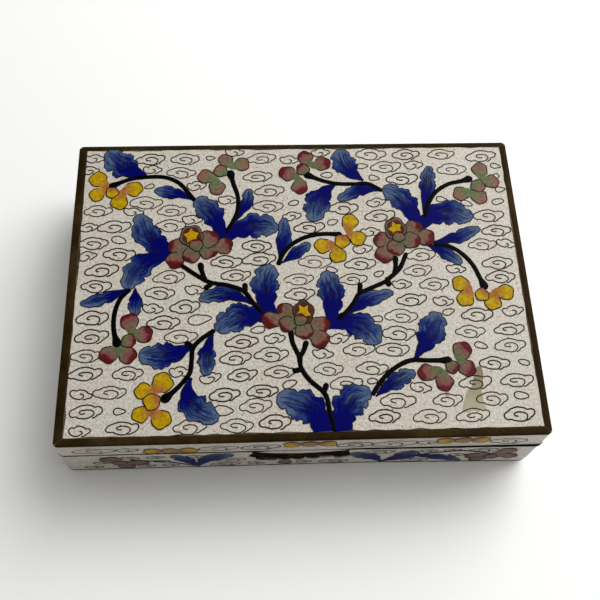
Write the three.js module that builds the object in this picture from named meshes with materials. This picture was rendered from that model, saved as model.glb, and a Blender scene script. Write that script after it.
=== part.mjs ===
// A small rectangular cloisonne enamel box: a copper tray with a lift-off lid, and four
// mitred brass strips round the lid's top edge. Millimetres, +Z up, with the origin at the
// middle of the underside, +X along the length and -Y towards the front.

import * as THREE from "three";
import { mergeVertices } from "three/addons/utils/BufferGeometryUtils.js";

// ---- Driving dimensions ----
const LENGTH = 127;
const DEPTH = 90;
const HEIGHT = 28;
const LID_HEIGHT = 9.75;
const WALL = 2;

// The tray's rim falls by this much from its left end to its right, where the lid stands open.
const RIM_DROP = 1;

// Corner radii seen from above, and the rolled lower edge of the tray.
const TRAY_CORNER = 2.5;
const LID_CORNER = 1.25;
const LEAST_CORNER = 0.25;
const FOOT_ROLL = 3;
const INSIDE_FILLET = 1;

// The collar inside the tray's mouth, which the lid drops over.
const COLLAR_THICKNESS = 1;
const COLLAR_RISE = 2.5;
const COLLAR_DEPTH = 4;
const COLLAR_CLEARANCE = 0.25;

// The brass border strips, let into the lid's top edge.
const BORDER_HEIGHT = 0.875;
const BORDER_WIDTH = { front: 2, back: 1.625, left: 2.375, right: 1.875 };

// Steps in a quarter turn of a corner (even, so that a mitre meets its middle) and of a roll.
const CORNER_STEPS = 8;
const ROLL_STEPS = 6;

// ---- Levels worked out from them ----
const HALF_LENGTH = LENGTH / 2;
const HALF_DEPTH = DEPTH / 2;
const SEAM = HEIGHT - LID_HEIGHT;
const LID_CEILING = HEIGHT - WALL;
const BORDER_SEAT = HEIGHT - BORDER_HEIGHT;
const COLLAR_OUTER = WALL + COLLAR_CLEARANCE;
const COLLAR_INNER = COLLAR_OUTER + COLLAR_THICKNESS;
const COLLAR_TOP = SEAM + COLLAR_RISE;
const COLLAR_FOOT = SEAM - COLLAR_DEPTH;

// ---- Materials ----
const enamel = new THREE.MeshStandardMaterial({ color: 0xd8d2c4, roughness: 0.35, metalness: 0 });
const brass = new THREE.MeshStandardMaterial({ color: 0x4a3417, roughness: 0.5, metalness: 1 });

// One corner's arc in plan, anticlockwise from its start angle.
function cornerArc(centreX, centreY, radius, quarter) {
  const points = [];
  for (let step = 0; step <= CORNER_STEPS; step += 1) {
    const angle = (quarter + step / CORNER_STEPS) * Math.PI / 2;
    points.push(new THREE.Vector2(centreX + radius * Math.cos(angle), centreY + radius * Math.sin(angle)));
  }
  return points;
}

// A rectangle with round corners in plan, anticlockwise from the front right corner.
function outline(left, right, front, back, radius) {
  return [
    ...cornerArc(right - radius, front + radius, radius, 3),
    ...cornerArc(right - radius, back - radius, radius, 0),
    ...cornerArc(left + radius, back - radius, radius, 1),
    ...cornerArc(left + radius, front + radius, radius, 2),
  ];
}

// A level ring round the box, inset by the same amount on all four sides.
function ring(inset, z, corner) {
  const radius = Math.max(corner - inset, LEAST_CORNER);
  const right = HALF_LENGTH - inset;
  const back = HALF_DEPTH - inset;
  return outline(-right, right, -back, back, radius).map((point) => new THREE.Vector3(point.x, point.y, z));
}

// A ring in the plane of the tray's rim.
function rimRing(inset) {
  const points = ring(inset, SEAM, TRAY_CORNER);
  for (const point of points) {
    point.z -= RIM_DROP * (point.x + HALF_LENGTH) / LENGTH;
  }
  return points;
}

// Rings along a quarter round in the wall's section, from one [inset, z] to the next.
function rolledRings(centreInset, centreZ, radius, fromAngle, toAngle, corner) {
  const rings = [];
  for (let step = 0; step <= ROLL_STEPS; step += 1) {
    const angle = THREE.MathUtils.lerp(fromAngle, toAngle, step / ROLL_STEPS);
    rings.push(ring(centreInset + radius * Math.cos(angle), centreZ + radius * Math.sin(angle), corner));
  }
  return rings;
}

// Joins rings in order with a flat cap on the first and the last, as one closed solid. The
// first ring is the outside's start, so that the faces point out.
function solidFromRings(rings) {
  const perRing = rings[0].length;
  const positions = rings.flat().flatMap((point) => point.toArray());
  const faces = [];
  for (let level = 0; level < rings.length - 1; level += 1) {
    for (let i = 0; i < perRing; i += 1) {
      const next = (i + 1) % perRing;
      const low = level * perRing;
      const high = low + perRing;
      faces.push(low + i, low + next, high + next, low + i, high + next, high + i);
    }
  }
  const lastRing = (rings.length - 1) * perRing;
  for (const [a, b, c] of THREE.ShapeUtils.triangulateShape(rings[0], [])) {
    faces.push(a, c, b);
  }
  for (const [a, b, c] of THREE.ShapeUtils.triangulateShape(rings[rings.length - 1], [])) {
    faces.push(lastRing + a, lastRing + b, lastRing + c);
  }
  const geometry = new THREE.BufferGeometry();
  geometry.setAttribute("position", new THREE.Float32BufferAttribute(positions, 3));
  geometry.setIndex(faces);
  return geometry;
}

// The tray: up the outside from the rolled foot to the seam, over the collar, and down the
// inside to the floor.
function trayGeometry() {
  const outside = [
    ...rolledRings(FOOT_ROLL, FOOT_ROLL, FOOT_ROLL, 1.5 * Math.PI, Math.PI, TRAY_CORNER),
    rimRing(0),
  ];
  const collar = [
    rimRing(COLLAR_OUTER),
    ring(COLLAR_OUTER, COLLAR_TOP, TRAY_CORNER),
    ring(COLLAR_INNER, COLLAR_TOP, TRAY_CORNER),
    ring(COLLAR_INNER, COLLAR_FOOT, TRAY_CORNER),
  ];
  const fillet = WALL + INSIDE_FILLET;
  const inside = [
    ring(WALL, COLLAR_FOOT, TRAY_CORNER),
    ...rolledRings(fillet, fillet, INSIDE_FILLET, Math.PI, 1.5 * Math.PI, TRAY_CORNER),
  ];
  return solidFromRings([...outside, ...collar, ...inside]);
}

// The inner edge of the border, which is also the edge of the lid's enamelled top panel.
const PANEL = {
  left: BORDER_WIDTH.left - HALF_LENGTH,
  right: HALF_LENGTH - BORDER_WIDTH.right,
  front: BORDER_WIDTH.front - HALF_DEPTH,
  back: HALF_DEPTH - BORDER_WIDTH.back,
};

// The lid: from the ceiling down the inside, round the lower edge, up the outside and in
// over the border's seat to the top panel.
function lidGeometry() {
  const panelEdge = outline(PANEL.left, PANEL.right, PANEL.front, PANEL.back, LEAST_CORNER);
  const panelRing = (z) => panelEdge.map((point) => new THREE.Vector3(point.x, point.y, z));
  const inside = rolledRings(
    WALL + INSIDE_FILLET, LID_CEILING - INSIDE_FILLET, INSIDE_FILLET, 0.5 * Math.PI, Math.PI, LID_CORNER,
  );
  const outside = [
    ring(WALL, SEAM, LID_CORNER),
    ring(0, SEAM, LID_CORNER),
    ring(0, BORDER_SEAT, LID_CORNER),
  ];
  return solidFromRings([...inside, ...outside, panelRing(BORDER_SEAT), panelRing(HEIGHT)]);
}

// One border strip: along the outer edge from the middle of one corner's arc to the middle
// of the next, then back along the panel's edge.
function borderGeometry(startCorner, panelStart, panelEnd) {
  const outer = outline(-HALF_LENGTH, HALF_LENGTH, -HALF_DEPTH, HALF_DEPTH, LID_CORNER);
  const perCorner = CORNER_STEPS + 1;
  const first = startCorner * perCorner + CORNER_STEPS / 2;
  const points = [];
  for (let i = 0; i <= perCorner; i += 1) {
    points.push(outer[(first + i) % outer.length]);
  }
  points.push(panelEnd, panelStart);
  const settings = { depth: BORDER_HEIGHT, bevelEnabled: false };
  return new THREE.ExtrudeGeometry(new THREE.Shape(points), settings).translate(0, 0, BORDER_SEAT);
}

// A mesh whose shared corners are merged, as the node of that name.
function piece(name, geometry, material) {
  geometry.deleteAttribute("normal");
  geometry.deleteAttribute("uv");
  const merged = mergeVertices(geometry);
  merged.computeVertexNormals();
  const mesh = new THREE.Mesh(merged, material);
  mesh.name = name;
  return mesh;
}

// The panel's corners, in the same order as the outline's: front right, back right, back
// left, front left. A strip runs from one corner to the next.
const panelCorners = [
  new THREE.Vector2(PANEL.right, PANEL.front),
  new THREE.Vector2(PANEL.right, PANEL.back),
  new THREE.Vector2(PANEL.left, PANEL.back),
  new THREE.Vector2(PANEL.left, PANEL.front),
];
const stripNames = ["lid_border_right", "lid_border_back", "lid_border_left", "lid_border_front"];

const tray = new THREE.Group();
tray.add(piece("base_tray", trayGeometry(), enamel));

const lid = new THREE.Group();
lid.add(piece("lid_shell", lidGeometry(), enamel));
for (const [corner, name] of stripNames.entries()) {
  const geometry = borderGeometry(corner, panelCorners[corner], panelCorners[(corner + 1) % 4]);
  lid.add(piece(name, geometry, brass));
}

const box = new THREE.Group();
box.add(tray, lid);

export default box;
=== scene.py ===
import math
import random

import bmesh
import bpy
from mathutils import Matrix, Vector, noise


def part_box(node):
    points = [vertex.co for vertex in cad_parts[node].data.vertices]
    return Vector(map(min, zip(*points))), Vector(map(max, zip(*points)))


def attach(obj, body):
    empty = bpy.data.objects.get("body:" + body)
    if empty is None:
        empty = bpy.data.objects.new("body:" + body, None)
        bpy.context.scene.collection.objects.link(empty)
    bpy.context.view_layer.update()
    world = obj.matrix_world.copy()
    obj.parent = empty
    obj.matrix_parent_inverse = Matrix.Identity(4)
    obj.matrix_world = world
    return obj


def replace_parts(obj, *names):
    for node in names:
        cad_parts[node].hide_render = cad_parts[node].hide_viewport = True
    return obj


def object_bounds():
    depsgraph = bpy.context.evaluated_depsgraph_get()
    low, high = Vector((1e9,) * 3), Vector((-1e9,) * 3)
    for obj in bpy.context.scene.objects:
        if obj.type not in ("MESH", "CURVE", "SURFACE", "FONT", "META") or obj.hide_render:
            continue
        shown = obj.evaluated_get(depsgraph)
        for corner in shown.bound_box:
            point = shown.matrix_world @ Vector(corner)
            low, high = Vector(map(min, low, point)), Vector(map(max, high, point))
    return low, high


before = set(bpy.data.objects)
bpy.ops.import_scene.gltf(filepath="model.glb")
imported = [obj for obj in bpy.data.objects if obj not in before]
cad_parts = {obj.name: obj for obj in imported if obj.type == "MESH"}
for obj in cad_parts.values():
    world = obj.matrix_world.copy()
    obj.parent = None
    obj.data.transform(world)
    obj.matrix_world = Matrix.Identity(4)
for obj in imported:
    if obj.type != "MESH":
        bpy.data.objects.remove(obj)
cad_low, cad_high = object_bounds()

# ==== Camera ====
# It stands in front of the box and looks steeply down on the lid, turned a little to the
# right and tilted, so that the whole lid and a narrow band of the front wall show.

CAMERA_DISTANCE = 0.2223
CAMERA_TURN = math.radians(6.26)
CAMERA_DROP = math.radians(65.53)
CAMERA_TILT = math.radians(4.64)
CAMERA_LENS = 48.91
CAMERA_CLIP = 0.005
AIM_FORWARD = 0.0060
AIM_LEFT = 0.0002


def in_scene(name, data):
    """A new object of the scene."""
    thing = bpy.data.objects.new(name, data)
    bpy.context.scene.collection.objects.link(thing)
    return thing


def facing(place, direction):
    """The matrix of a thing that stands at a place and looks along a direction."""
    return Matrix.Translation(place) @ direction.to_track_quat("-Z", "Y").to_matrix().to_4x4()


aim = Vector((
    (cad_low.x + cad_high.x) / 2 - AIM_LEFT, (cad_low.y + cad_high.y) / 2 - AIM_FORWARD, cad_high.z
))
looking = Matrix.Rotation(-CAMERA_TURN, 3, "Z") @ Vector((0, math.cos(CAMERA_DROP), -math.sin(CAMERA_DROP)))
camera = in_scene("camera", bpy.data.cameras.new("camera"))
camera.data.lens = CAMERA_LENS
camera.data.clip_start = CAMERA_CLIP
camera.matrix_world = facing(aim - looking * CAMERA_DISTANCE, looking) @ Matrix.Rotation(CAMERA_TILT, 4, "Z")
bpy.context.scene.camera = camera

# ==== Tray ====
# The lower half: one raised copper tray with white enamel fused to it inside and out. Its
# rim sinks a little to the right, and a low collar inside it guides the lid.

MM = 0.001
QUARTER = math.pi / 2
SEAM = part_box("lid_shell")[0].z
HALF_LENGTH = (cad_high.x - cad_low.x) / 2
HALF_DEPTH = (cad_high.y - cad_low.y) / 2
WALL = 2 * MM
RIM_DROP = 1 * MM
TRAY_CORNER = 2.5 * MM
RIM_CORNER = 1.4 * MM
LEAST_CORNER = 0.25 * MM
FOOT_ROLL = 2.8 * MM
INSIDE_FILLET = 1 * MM
COLLAR_OUTER = 2.25 * MM
COLLAR_INNER = 3.25 * MM
COLLAR_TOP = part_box("base_tray")[1].z
COLLAR_FOOT = SEAM - 4 * MM
EDGE_ROUND = 0.3 * MM
FLOOR_MIDDLE = HALF_DEPTH - 2 * MM
CORNER_STEPS = 6
ROUND_STEPS = 4
LONG_STEPS = 42
SHORT_STEPS = 30
CENTRE_STEPS = 13
HAND_SWELL = 0.11 * MM
SWELLS_PER_METRE = 26
BULGE_LEFT = 2.5 * MM
BULGE_RIGHT = 0.6 * MM
BULGE_FORWARD = 0.8 * MM
BULGE_START = 20 * MM
BULGE_HEIGHT = 5 * MM
SHARP_ANGLE = math.radians(35)
HAND_SEED = 5
noise.seed_set(HAND_SEED)

# The tray's white and cream are darker copies of the lid's: painted shade for the tray's walls.
TRAY_SHADED_WHITE = (0.42, 0.39, 0.34)
TRAY_SHADED_CREAM = (0.37, 0.33, 0.28)
TRAY_PITS = 0.32
ENAMEL_PIT = (0.10, 0.075, 0.05)
ENAMEL_STAIN = (0.40, 0.31, 0.26)
ENAMEL_GRAIN = ((0.34, (0.16, 0.14, 0.105)), (0.50, (0.46, 0.43, 0.37)), (0.64, (0.72, 0.68, 0.62)))


def between(first, last, steps):
    """Evenly spaced numbers from first to last, both included."""
    return [first + (last - first) * step / steps for step in range(steps + 1)]


def level_line(left, right, front, back, radius, z):
    """A rectangle with round corners at one height, anticlockwise from the front right."""
    arcs = []
    for quarter, (x, y) in enumerate(((right, front), (right, back), (left, back), (left, front))):
        centre = Vector((x - math.copysign(radius, x), y - math.copysign(radius, y), z))
        angles = between((quarter - 1) * QUARTER, quarter * QUARTER, CORNER_STEPS)
        arcs.append([centre + Vector((math.cos(angle), math.sin(angle), 0)) * radius for angle in angles])
    line = []
    for arc, next_arc, steps in zip(arcs, arcs[1:] + arcs[:1], (SHORT_STEPS, LONG_STEPS) * 2):
        line += arc + [arc[-1].lerp(next_arc[0], step / steps) for step in range(1, steps)]
    return line


def ring(inset, z, corner, fall=0.0):
    """A line round the box, inset alike on all sides, that sinks with the rim by fall."""
    x, y = HALF_LENGTH - inset, HALF_DEPTH - inset
    line = level_line(-x, x, -y, y, max(corner - inset, LEAST_CORNER), z)
    for point in line:
        point.z -= fall * RIM_DROP * (point.x + HALF_LENGTH) / (2 * HALF_LENGTH)
    return line


def round_over(inset, z, radius, first, last, corner, fall=0.0):
    """Rings along a round in the wall's section, by quarters about the point at inset and z."""
    return [
        ring(inset - radius * math.cos(angle), z + radius * math.sin(angle), corner, fall)
        for angle in between(first * QUARTER, last * QUARTER, ROUND_STEPS)
    ]


def level_rings(z, corner, first, last):
    """Rings at one height, from the first inset to the last."""
    return [ring(inset, z, corner) for inset in between(first, last, CENTRE_STEPS)]


def wall_rings(inset, corner, low, high, steps):
    """Rings up or down a straight wall, from the first height to the last."""
    return [ring(inset, z, corner) for z in between(low, high, steps)]


def outwards(mesh):
    """Turns the faces of a closed mesh to the outside."""
    work = bmesh.new()
    work.from_mesh(mesh)
    bmesh.ops.recalc_face_normals(work, faces=work.faces)
    work.to_mesh(mesh)
    work.free()


def loft(lines):
    """Joins closed lines of equal count in order, with a cap on the first and the last."""
    count = len(lines[0])
    vertices = [point for line in lines for point in line]
    last = len(vertices) - count
    faces = []
    for low in range(0, last, count):
        for i in range(count):
            j = (i + 1) % count
            faces.append((low + i, low + j, low + count + j, low + count + i))
    faces += [tuple(reversed(range(count))), tuple(range(last, last + count))]
    mesh = bpy.data.meshes.new("loft")
    mesh.from_pydata(vertices, [], faces)
    outwards(mesh)
    return mesh


def clamped(value):
    """The value kept between 0 and 1."""
    return min(max(value, 0), 1)


def hand_worked(mesh):
    """Moves every point by the same gentle swell, and the box's lower front corners outwards."""
    for vertex in mesh.vertices:
        x, y, z = vertex.co
        swell = noise.noise_vector(vertex.co * SWELLS_PER_METRE) * HAND_SWELL
        swell.z *= min(max(z, 0) / FOOT_ROLL, 1)
        end = clamped((abs(x) - BULGE_START) / (HALF_LENGTH - BULGE_START))
        low = clamped((cad_high.z - z) / (cad_high.z - BULGE_HEIGHT)) ** 1.5
        front = clamped(0.5 - y / HALF_DEPTH / 2)
        out, forward = (-BULGE_LEFT, 0) if x < 0 else (BULGE_RIGHT, -BULGE_FORWARD)
        vertex.co += swell + Vector((out * end * end, forward * end, 0)) * (low * front)


def shown_piece(name, mesh, material):
    """Works a mesh by hand and puts it in the scene as a piece of the box."""
    hand_worked(mesh)
    mesh.name = name
    mesh.materials.clear()
    mesh.materials.append(material)
    mesh.shade_smooth()
    mesh.set_sharp_from_angle(angle=SHARP_ANGLE)
    piece = in_scene(name, mesh)
    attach(piece, "root")
    return piece


def add_node(tree, kind, settings=None, **links):
    """Adds a node, with its settings, and its inputs by name or number as values or as links."""
    node = tree.nodes.new(kind)
    for key, value in (settings or {}).items():
        setattr(node, key, value)
    for key, value in links.items():
        socket = node.inputs[int(key[1:]) if key[1:].isdigit() else key.replace("_", " ")]
        if isinstance(value, bpy.types.NodeSocket):
            tree.links.new(value, socket)
        else:
            socket.default_value = value
    return node


def new_material(name, roughness, metallic=0.0, gloss=0.3):
    """A material with a principled shader, and the tree to add its pattern to."""
    material = bpy.data.materials.new(name)
    material.use_nodes = True
    shader = material.node_tree.nodes["Principled BSDF"]
    for socket, value in (("Specular IOR Level", gloss), ("Roughness", roughness), ("Metallic", metallic)):
        shader.inputs[socket].default_value = value
    return material, material.node_tree, shader


def grain(tree, scale, detail, roughness=0.5, **more):
    """A noise as a value, over the object unless another place is given."""
    if "Vector" not in more:
        more["Vector"] = add_node(tree, "ShaderNodeTexCoord").outputs["Object"]
    node = add_node(tree, "ShaderNodeTexNoise", Scale=scale, Detail=detail, Roughness=roughness, **more)
    return node.outputs["Fac"]


def ramp(factor, *stops):
    """A colour ramp of (place, colour) stops."""
    node = add_node(factor.id_data, "ShaderNodeValToRGB", Fac=factor)
    elements = node.color_ramp.elements
    while len(elements) < len(stops):
        elements.new(0.5)
    for element, (place, colour) in zip(elements, stops):
        element.position = place
        element.color = (*colour, 1)
    return node.outputs["Color"]


def mask(value, low, high):
    """Turns a value into 0 below low and 1 above high, or the other way round."""
    node = add_node(value.id_data, "ShaderNodeMapRange", {"interpolation_type": "SMOOTHSTEP"}, Value=value)
    ends = (min(low, high), max(low, high), float(low > high), float(low < high))
    for socket, end in zip(("From Min", "From Max", "To Min", "To Max"), ends):
        node.inputs[socket].default_value = end
    return node.outputs["Result"]


def blend(factor, first, second, kind="MIX"):
    """Mixes a second colour, or a socket that gives one, into a first one."""
    second = second if isinstance(second, bpy.types.NodeSocket) else (*second, 1)
    settings = {"data_type": "RGBA", "blend_type": kind}
    return add_node(first.id_data, "ShaderNodeMix", settings, i0=factor, i6=first, i7=second).outputs[2]


def combined(first, second, kind="MULTIPLY"):
    """Multiplies two values, or does another sum on them."""
    return add_node(first.id_data, "ShaderNodeMath", {"operation": kind}, i0=first, i1=second).outputs[0]


def coloured(shader, colour, height=None, distance=0.0, strength=1.0):
    """Gives the shader its colour, and raises its surface by a height, in metres."""
    tree = shader.id_data
    tree.links.new(colour, shader.inputs["Base Color"])
    if height:
        raised = add_node(tree, "ShaderNodeBump", Height=height, Distance=distance, Strength=strength)
        tree.links.new(raised.outputs["Normal"], shader.inputs["Normal"])


def white_enamel(name, white, cream, pit_share):
    """Satin white enamel, mottled, grainy and pitted, with faint stains."""
    material, tree, shader = new_material(name, 0.42, gloss=0.2)
    fine = grain(tree, 1500.0, 3.0, 0.75)
    body = ramp(grain(tree, 70.0, 4.0, 0.6), (0.36, cream), (0.62, white))
    body = blend(0.45, body, ramp(fine, *ENAMEL_GRAIN))
    stains = mask(grain(tree, 24.0, 5.0, 0.65), 0.60, 0.74)
    body = blend(combined(stains, 0.5), body, ENAMEL_STAIN)
    place = add_node(tree, "ShaderNodeTexCoord").outputs["Object"]
    cells = add_node(tree, "ShaderNodeTexVoronoi", Vector=place, Scale=560.0)
    pick = add_node(tree, "ShaderNodeSeparateColor", Color=cells.outputs["Color"]).outputs[0]
    chosen = mask(pick, 1 - pit_share, 1.02 - pit_share)
    pits = combined(mask(cells.outputs["Distance"], 0.17, 0.08), chosen)
    body = blend(combined(pits, 0.8), body, ENAMEL_PIT)
    tree.links.new(mask(fine, -0.6, 1.9), shader.inputs["Roughness"])
    coloured(shader, body, combined(combined(fine, 0.5), pits, "SUBTRACT"), 0.05 * MM, 0.6)
    return material


inside_turn = WALL + INSIDE_FILLET
tray_rings = level_rings(0, TRAY_CORNER, FLOOR_MIDDLE, FOOT_ROLL)
tray_rings += round_over(FOOT_ROLL, FOOT_ROLL, FOOT_ROLL, -1, 0, TRAY_CORNER)[1:]
for z in between(FOOT_ROLL, SEAM - EDGE_ROUND, 6)[1:-1]:
    tray_rings.append(ring(0, z, TRAY_CORNER + (RIM_CORNER - TRAY_CORNER) * z / SEAM, z / SEAM))
tray_rings += round_over(EDGE_ROUND, SEAM - EDGE_ROUND, EDGE_ROUND, 0, 1, RIM_CORNER, 1.0)
for inset in (1.2 * MM, COLLAR_OUTER - 0.05 * MM, COLLAR_OUTER):
    tray_rings.append(ring(inset, SEAM, RIM_CORNER, 1.0))
for inset, first in ((COLLAR_OUTER + EDGE_ROUND, 0), (COLLAR_INNER - EDGE_ROUND, 1)):
    tray_rings += round_over(inset, COLLAR_TOP - EDGE_ROUND, EDGE_ROUND, first, first + 1, TRAY_CORNER)
tray_rings += [ring(COLLAR_INNER, COLLAR_FOOT, TRAY_CORNER), ring(WALL, COLLAR_FOOT, TRAY_CORNER)]
tray_rings += wall_rings(WALL, TRAY_CORNER, COLLAR_FOOT, inside_turn, 5)[1:-1]
tray_rings += round_over(inside_turn, inside_turn, INSIDE_FILLET, 0, -1, TRAY_CORNER)
tray_rings += level_rings(WALL, TRAY_CORNER, inside_turn, FLOOR_MIDDLE)[1:]

# ==== Lost enamel on the tray's front ====
# Along the upper edge in the middle the enamel has flaked off in scallops, down to the dark
# copper. The flakes are cut out of the tray, and the copper is a rough floor in the hollow.

CHIP_DEPTH = 0.5 * MM
COPPER_BELOW = 0.34 * MM
COPPER_ROUGH = 0.05 * MM
# The flakes' upper edge, from right to left, and then their lobes with how far each bows out.
CHIP_TOP = (
    (12.4, -10.9), (9.0, -11.7), (4.0, -12.8), (-2.0, -13.2), (-8.0, -12.6), (-11.5, -11.4), (-13.8, -10.2),
)
CHIP_LOBES = (
    (-13.8, -10.2, -0.1), (-14.6, -13.8, 0.25), (-13.0, -18.0, 0.4), (-10.2, -20.3, 0.35),
    (-7.0, -20.0, 0.15), (-3.2, -20.1, 0.45), (0.2, -18.8, 0.38), (4.8, -18.6, 0.1), (7.9, -18.2, 0.4),
    (11.2, -19.0, 0.25), (12.9, -15.0, -0.12), (12.4, -10.9, 0.0),
)
CHIP_RAGGED = 0.28


def bowed(start, end, bow, steps):
    """Points from start up to end on a line that bows out to the right by a share of its length."""
    start = Vector(start)
    along = Vector(end) - start
    out = Vector((along.y, -along.x)) * bow
    roundness = min(abs(bow) / 0.6, 1)
    points = []
    for step in range(steps):
        t = step / steps
        share = t + ((1 - math.cos(math.pi * t)) / 2 - t) * roundness
        points.append(start + along * share + out * math.sin(math.pi * t) ** 0.85)
    return points


def chip_prism(outer_y, inner_y):
    """A prism of the flakes' outline between two depths, in metres."""
    return loft([
        [Vector((point.x * MM, y, cad_high.z + point.y * MM)) for point in chip_outline]
        for y in (inner_y, outer_y)
    ])


def applied(holder):
    """The plain mesh that an object's modifier makes of it. The object itself goes."""
    made = bpy.data.meshes.new_from_object(holder.evaluated_get(bpy.context.evaluated_depsgraph_get()))
    bpy.data.objects.remove(holder)
    return made


def mottled(name, finish, texture, *stops, raised=()):
    """A material of one noise between colours, which may also raise its surface."""
    material, tree, shader = new_material(name, *finish)
    clouding = grain(tree, *texture)
    coloured(shader, ramp(clouding, *stops), clouding if raised else None, *raised)
    return material


chip_outline = [Vector(point) for point in CHIP_TOP[:-1]]
for (*start, bow), (*end, _) in zip(CHIP_LOBES, CHIP_LOBES[1:]):
    chip_outline += bowed(start, end, bow, 6)
for point in chip_outline:
    ragged = noise.noise_vector(Vector((point.x, point.y, 3)) * 1.3)
    point += ragged.xy * CHIP_RAGGED * clamped(-10.6 - point.y)

front_y = -HALF_DEPTH
cutter = in_scene("cutter", chip_prism(front_y - MM, front_y + CHIP_DEPTH))
uncut = in_scene("uncut", loft(tray_rings))
cut = uncut.modifiers.new("cut", "BOOLEAN")
cut.operation = "DIFFERENCE"
cut.solver = "EXACT"
cut.object = cutter
cut_mesh = applied(uncut)
bpy.data.objects.remove(cutter)
# The tray's enamel is the lid's white darkened, as painted shade on its walls.
tray_white = white_enamel("tray_white_enamel_with_painted_shade", TRAY_SHADED_WHITE, TRAY_SHADED_CREAM, TRAY_PITS)
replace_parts(shown_piece("tray_body", cut_mesh, tray_white), "base_tray")

# This dark copper also draws the seam's dark lines, which are partly painted shadow of the gap.
copper = mottled(
    "dark_bare_copper_and_seam_shadow", (0.7, 0.0, 0.01), (420.0, 5.0), (0.35, (0.003, 0.0015, 0.001)),
    (0.52, (0.010, 0.0045, 0.002)), (0.70, (0.055, 0.031, 0.013)), raised=(0.2 * MM, 0.8),
)
copper_mesh = chip_prism(front_y + COPPER_BELOW, front_y + CHIP_DEPTH + 0.1 * MM)
copper_work = bmesh.new()
copper_work.from_mesh(copper_mesh)
bmesh.ops.triangulate(copper_work, faces=[face for face in copper_work.faces if len(face.verts) > 4])
bmesh.ops.subdivide_edges(copper_work, edges=copper_work.edges[:], cuts=2, use_grid_fill=True)
for vertex in copper_work.verts:
    if vertex.co.y < front_y + COPPER_BELOW + 0.01 * MM:
        vertex.co.y += COPPER_ROUGH * noise.noise(vertex.co * 900)
copper_work.to_mesh(copper_mesh)
copper_work.free()
shown_piece("tray_bare_copper", copper_mesh, copper)

# ==== Lid ====
# The upper half: a shallow copper tray turned over, enamelled like the lower one, with a
# straight lower edge and a rebate round its top for the brass border.

LID_CORNER = 1.25 * MM
LID_LIP = 0.2 * MM
PANEL_EDGE = 0.08 * MM
PANEL_MIDDLE = HALF_DEPTH - 4 * MM
ENAMEL_WHITE = (0.50, 0.465, 0.405)
ENAMEL_CREAM = (0.455, 0.40, 0.335)
LID_PITS = 0.4
BORDER_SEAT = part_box("lid_border_front")[0].z
PANEL_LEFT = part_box("lid_border_left")[1].x
PANEL_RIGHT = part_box("lid_border_right")[0].x
PANEL_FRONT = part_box("lid_border_front")[1].y
PANEL_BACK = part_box("lid_border_back")[0].y
LID_TOP = cad_high.z
LID_CEILING = LID_TOP - WALL


def panel_ring(inset, z):
    """A line inside the border, inset alike from its four inner edges."""
    sides = (PANEL_LEFT + inset, PANEL_RIGHT - inset, PANEL_FRONT + inset, PANEL_BACK - inset)
    return level_line(*sides, LEAST_CORNER, z)


lid_rings = level_rings(LID_CEILING, LID_CORNER, FLOOR_MIDDLE, inside_turn)
lid_rings += round_over(inside_turn, LID_CEILING - INSIDE_FILLET, INSIDE_FILLET, 1, 0, LID_CORNER)[1:]
lid_rings += wall_rings(WALL, LID_CORNER, LID_CEILING - INSIDE_FILLET, SEAM + LID_LIP, 3)[1:-1]
lid_rings += round_over(WALL - LID_LIP, SEAM + LID_LIP, -LID_LIP, 0, 1, LID_CORNER)
lid_rings += round_over(LID_LIP, SEAM + LID_LIP, LID_LIP, -1, 0, LID_CORNER)
lid_rings += wall_rings(0, LID_CORNER, SEAM + LID_LIP, BORDER_SEAT, 4)[1:]
lid_rings += [panel_ring(0, BORDER_SEAT), panel_ring(0, LID_TOP - PANEL_EDGE)]
for inset in between(PANEL_EDGE, PANEL_MIDDLE, 2 * CENTRE_STEPS):
    lid_rings.append(panel_ring(inset, LID_TOP))
lid_white = white_enamel("lid_white_enamel", ENAMEL_WHITE, ENAMEL_CREAM, LID_PITS)
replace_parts(shown_piece("lid_body", loft(lid_rings), lid_white), "lid_shell")

# ==== Brass border ====
# Four brass strips soldered round the lid's top edge and mitred at the corners, rounded over
# outside and dark with age, with a little bright solder in the joints.

STRIP_ROUND = 0.45 * MM
STRIP_HEIGHT = LID_TOP - BORDER_SEAT + 0.06 * MM
STRIP_STEPS = 60
STRIP_DENT = 0.02 * MM
STRIP_FOOT = 0.02 * MM
MITRE_GAP = 0.03 * MM
MITRE_REACH = LID_CORNER * math.sqrt(0.5)

brass, brass_tree, brass_shader = new_material("aged_border_brass", 0.5, 0.12, gloss=0.03)
brass_cloud = grain(brass_tree, 90.0, 6.0, 0.65)
brass_fine = grain(brass_tree, 900.0, 3.0)
brass_colour = ramp(
    brass_cloud, (0.30, (0.010, 0.005, 0.0007)), (0.50, (0.021, 0.0115, 0.002)), (0.72, (0.046, 0.029, 0.009))
)
brass_colour = blend(mask(brass_fine, 0.60, 0.72), brass_colour, (0.012, 0.007, 0.003))
brass_tree.links.new(mask(brass_cloud, -0.2, 1.1), brass_shader.inputs["Roughness"])
coloured(brass_shader, brass_colour, brass_fine, 0.04 * MM, 0.7)

# The strip's section, as shares of its width from outside and heights above its seat.
strip_section = [(0.0, STRIP_FOOT)]
for angle in between(0, QUARTER, ROUND_STEPS):
    height = STRIP_HEIGHT - STRIP_ROUND * (1 - math.sin(angle))
    strip_section.append((STRIP_ROUND * (1 - math.cos(angle)) / (2 * MM), height))
for across, raised in ((0.55, 0.01 * MM), (0.94, 0), (1.0, -0.06 * MM)):
    strip_section.append((across, STRIP_HEIGHT + raised))
strip_section.append((1.0, STRIP_FOOT))


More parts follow.
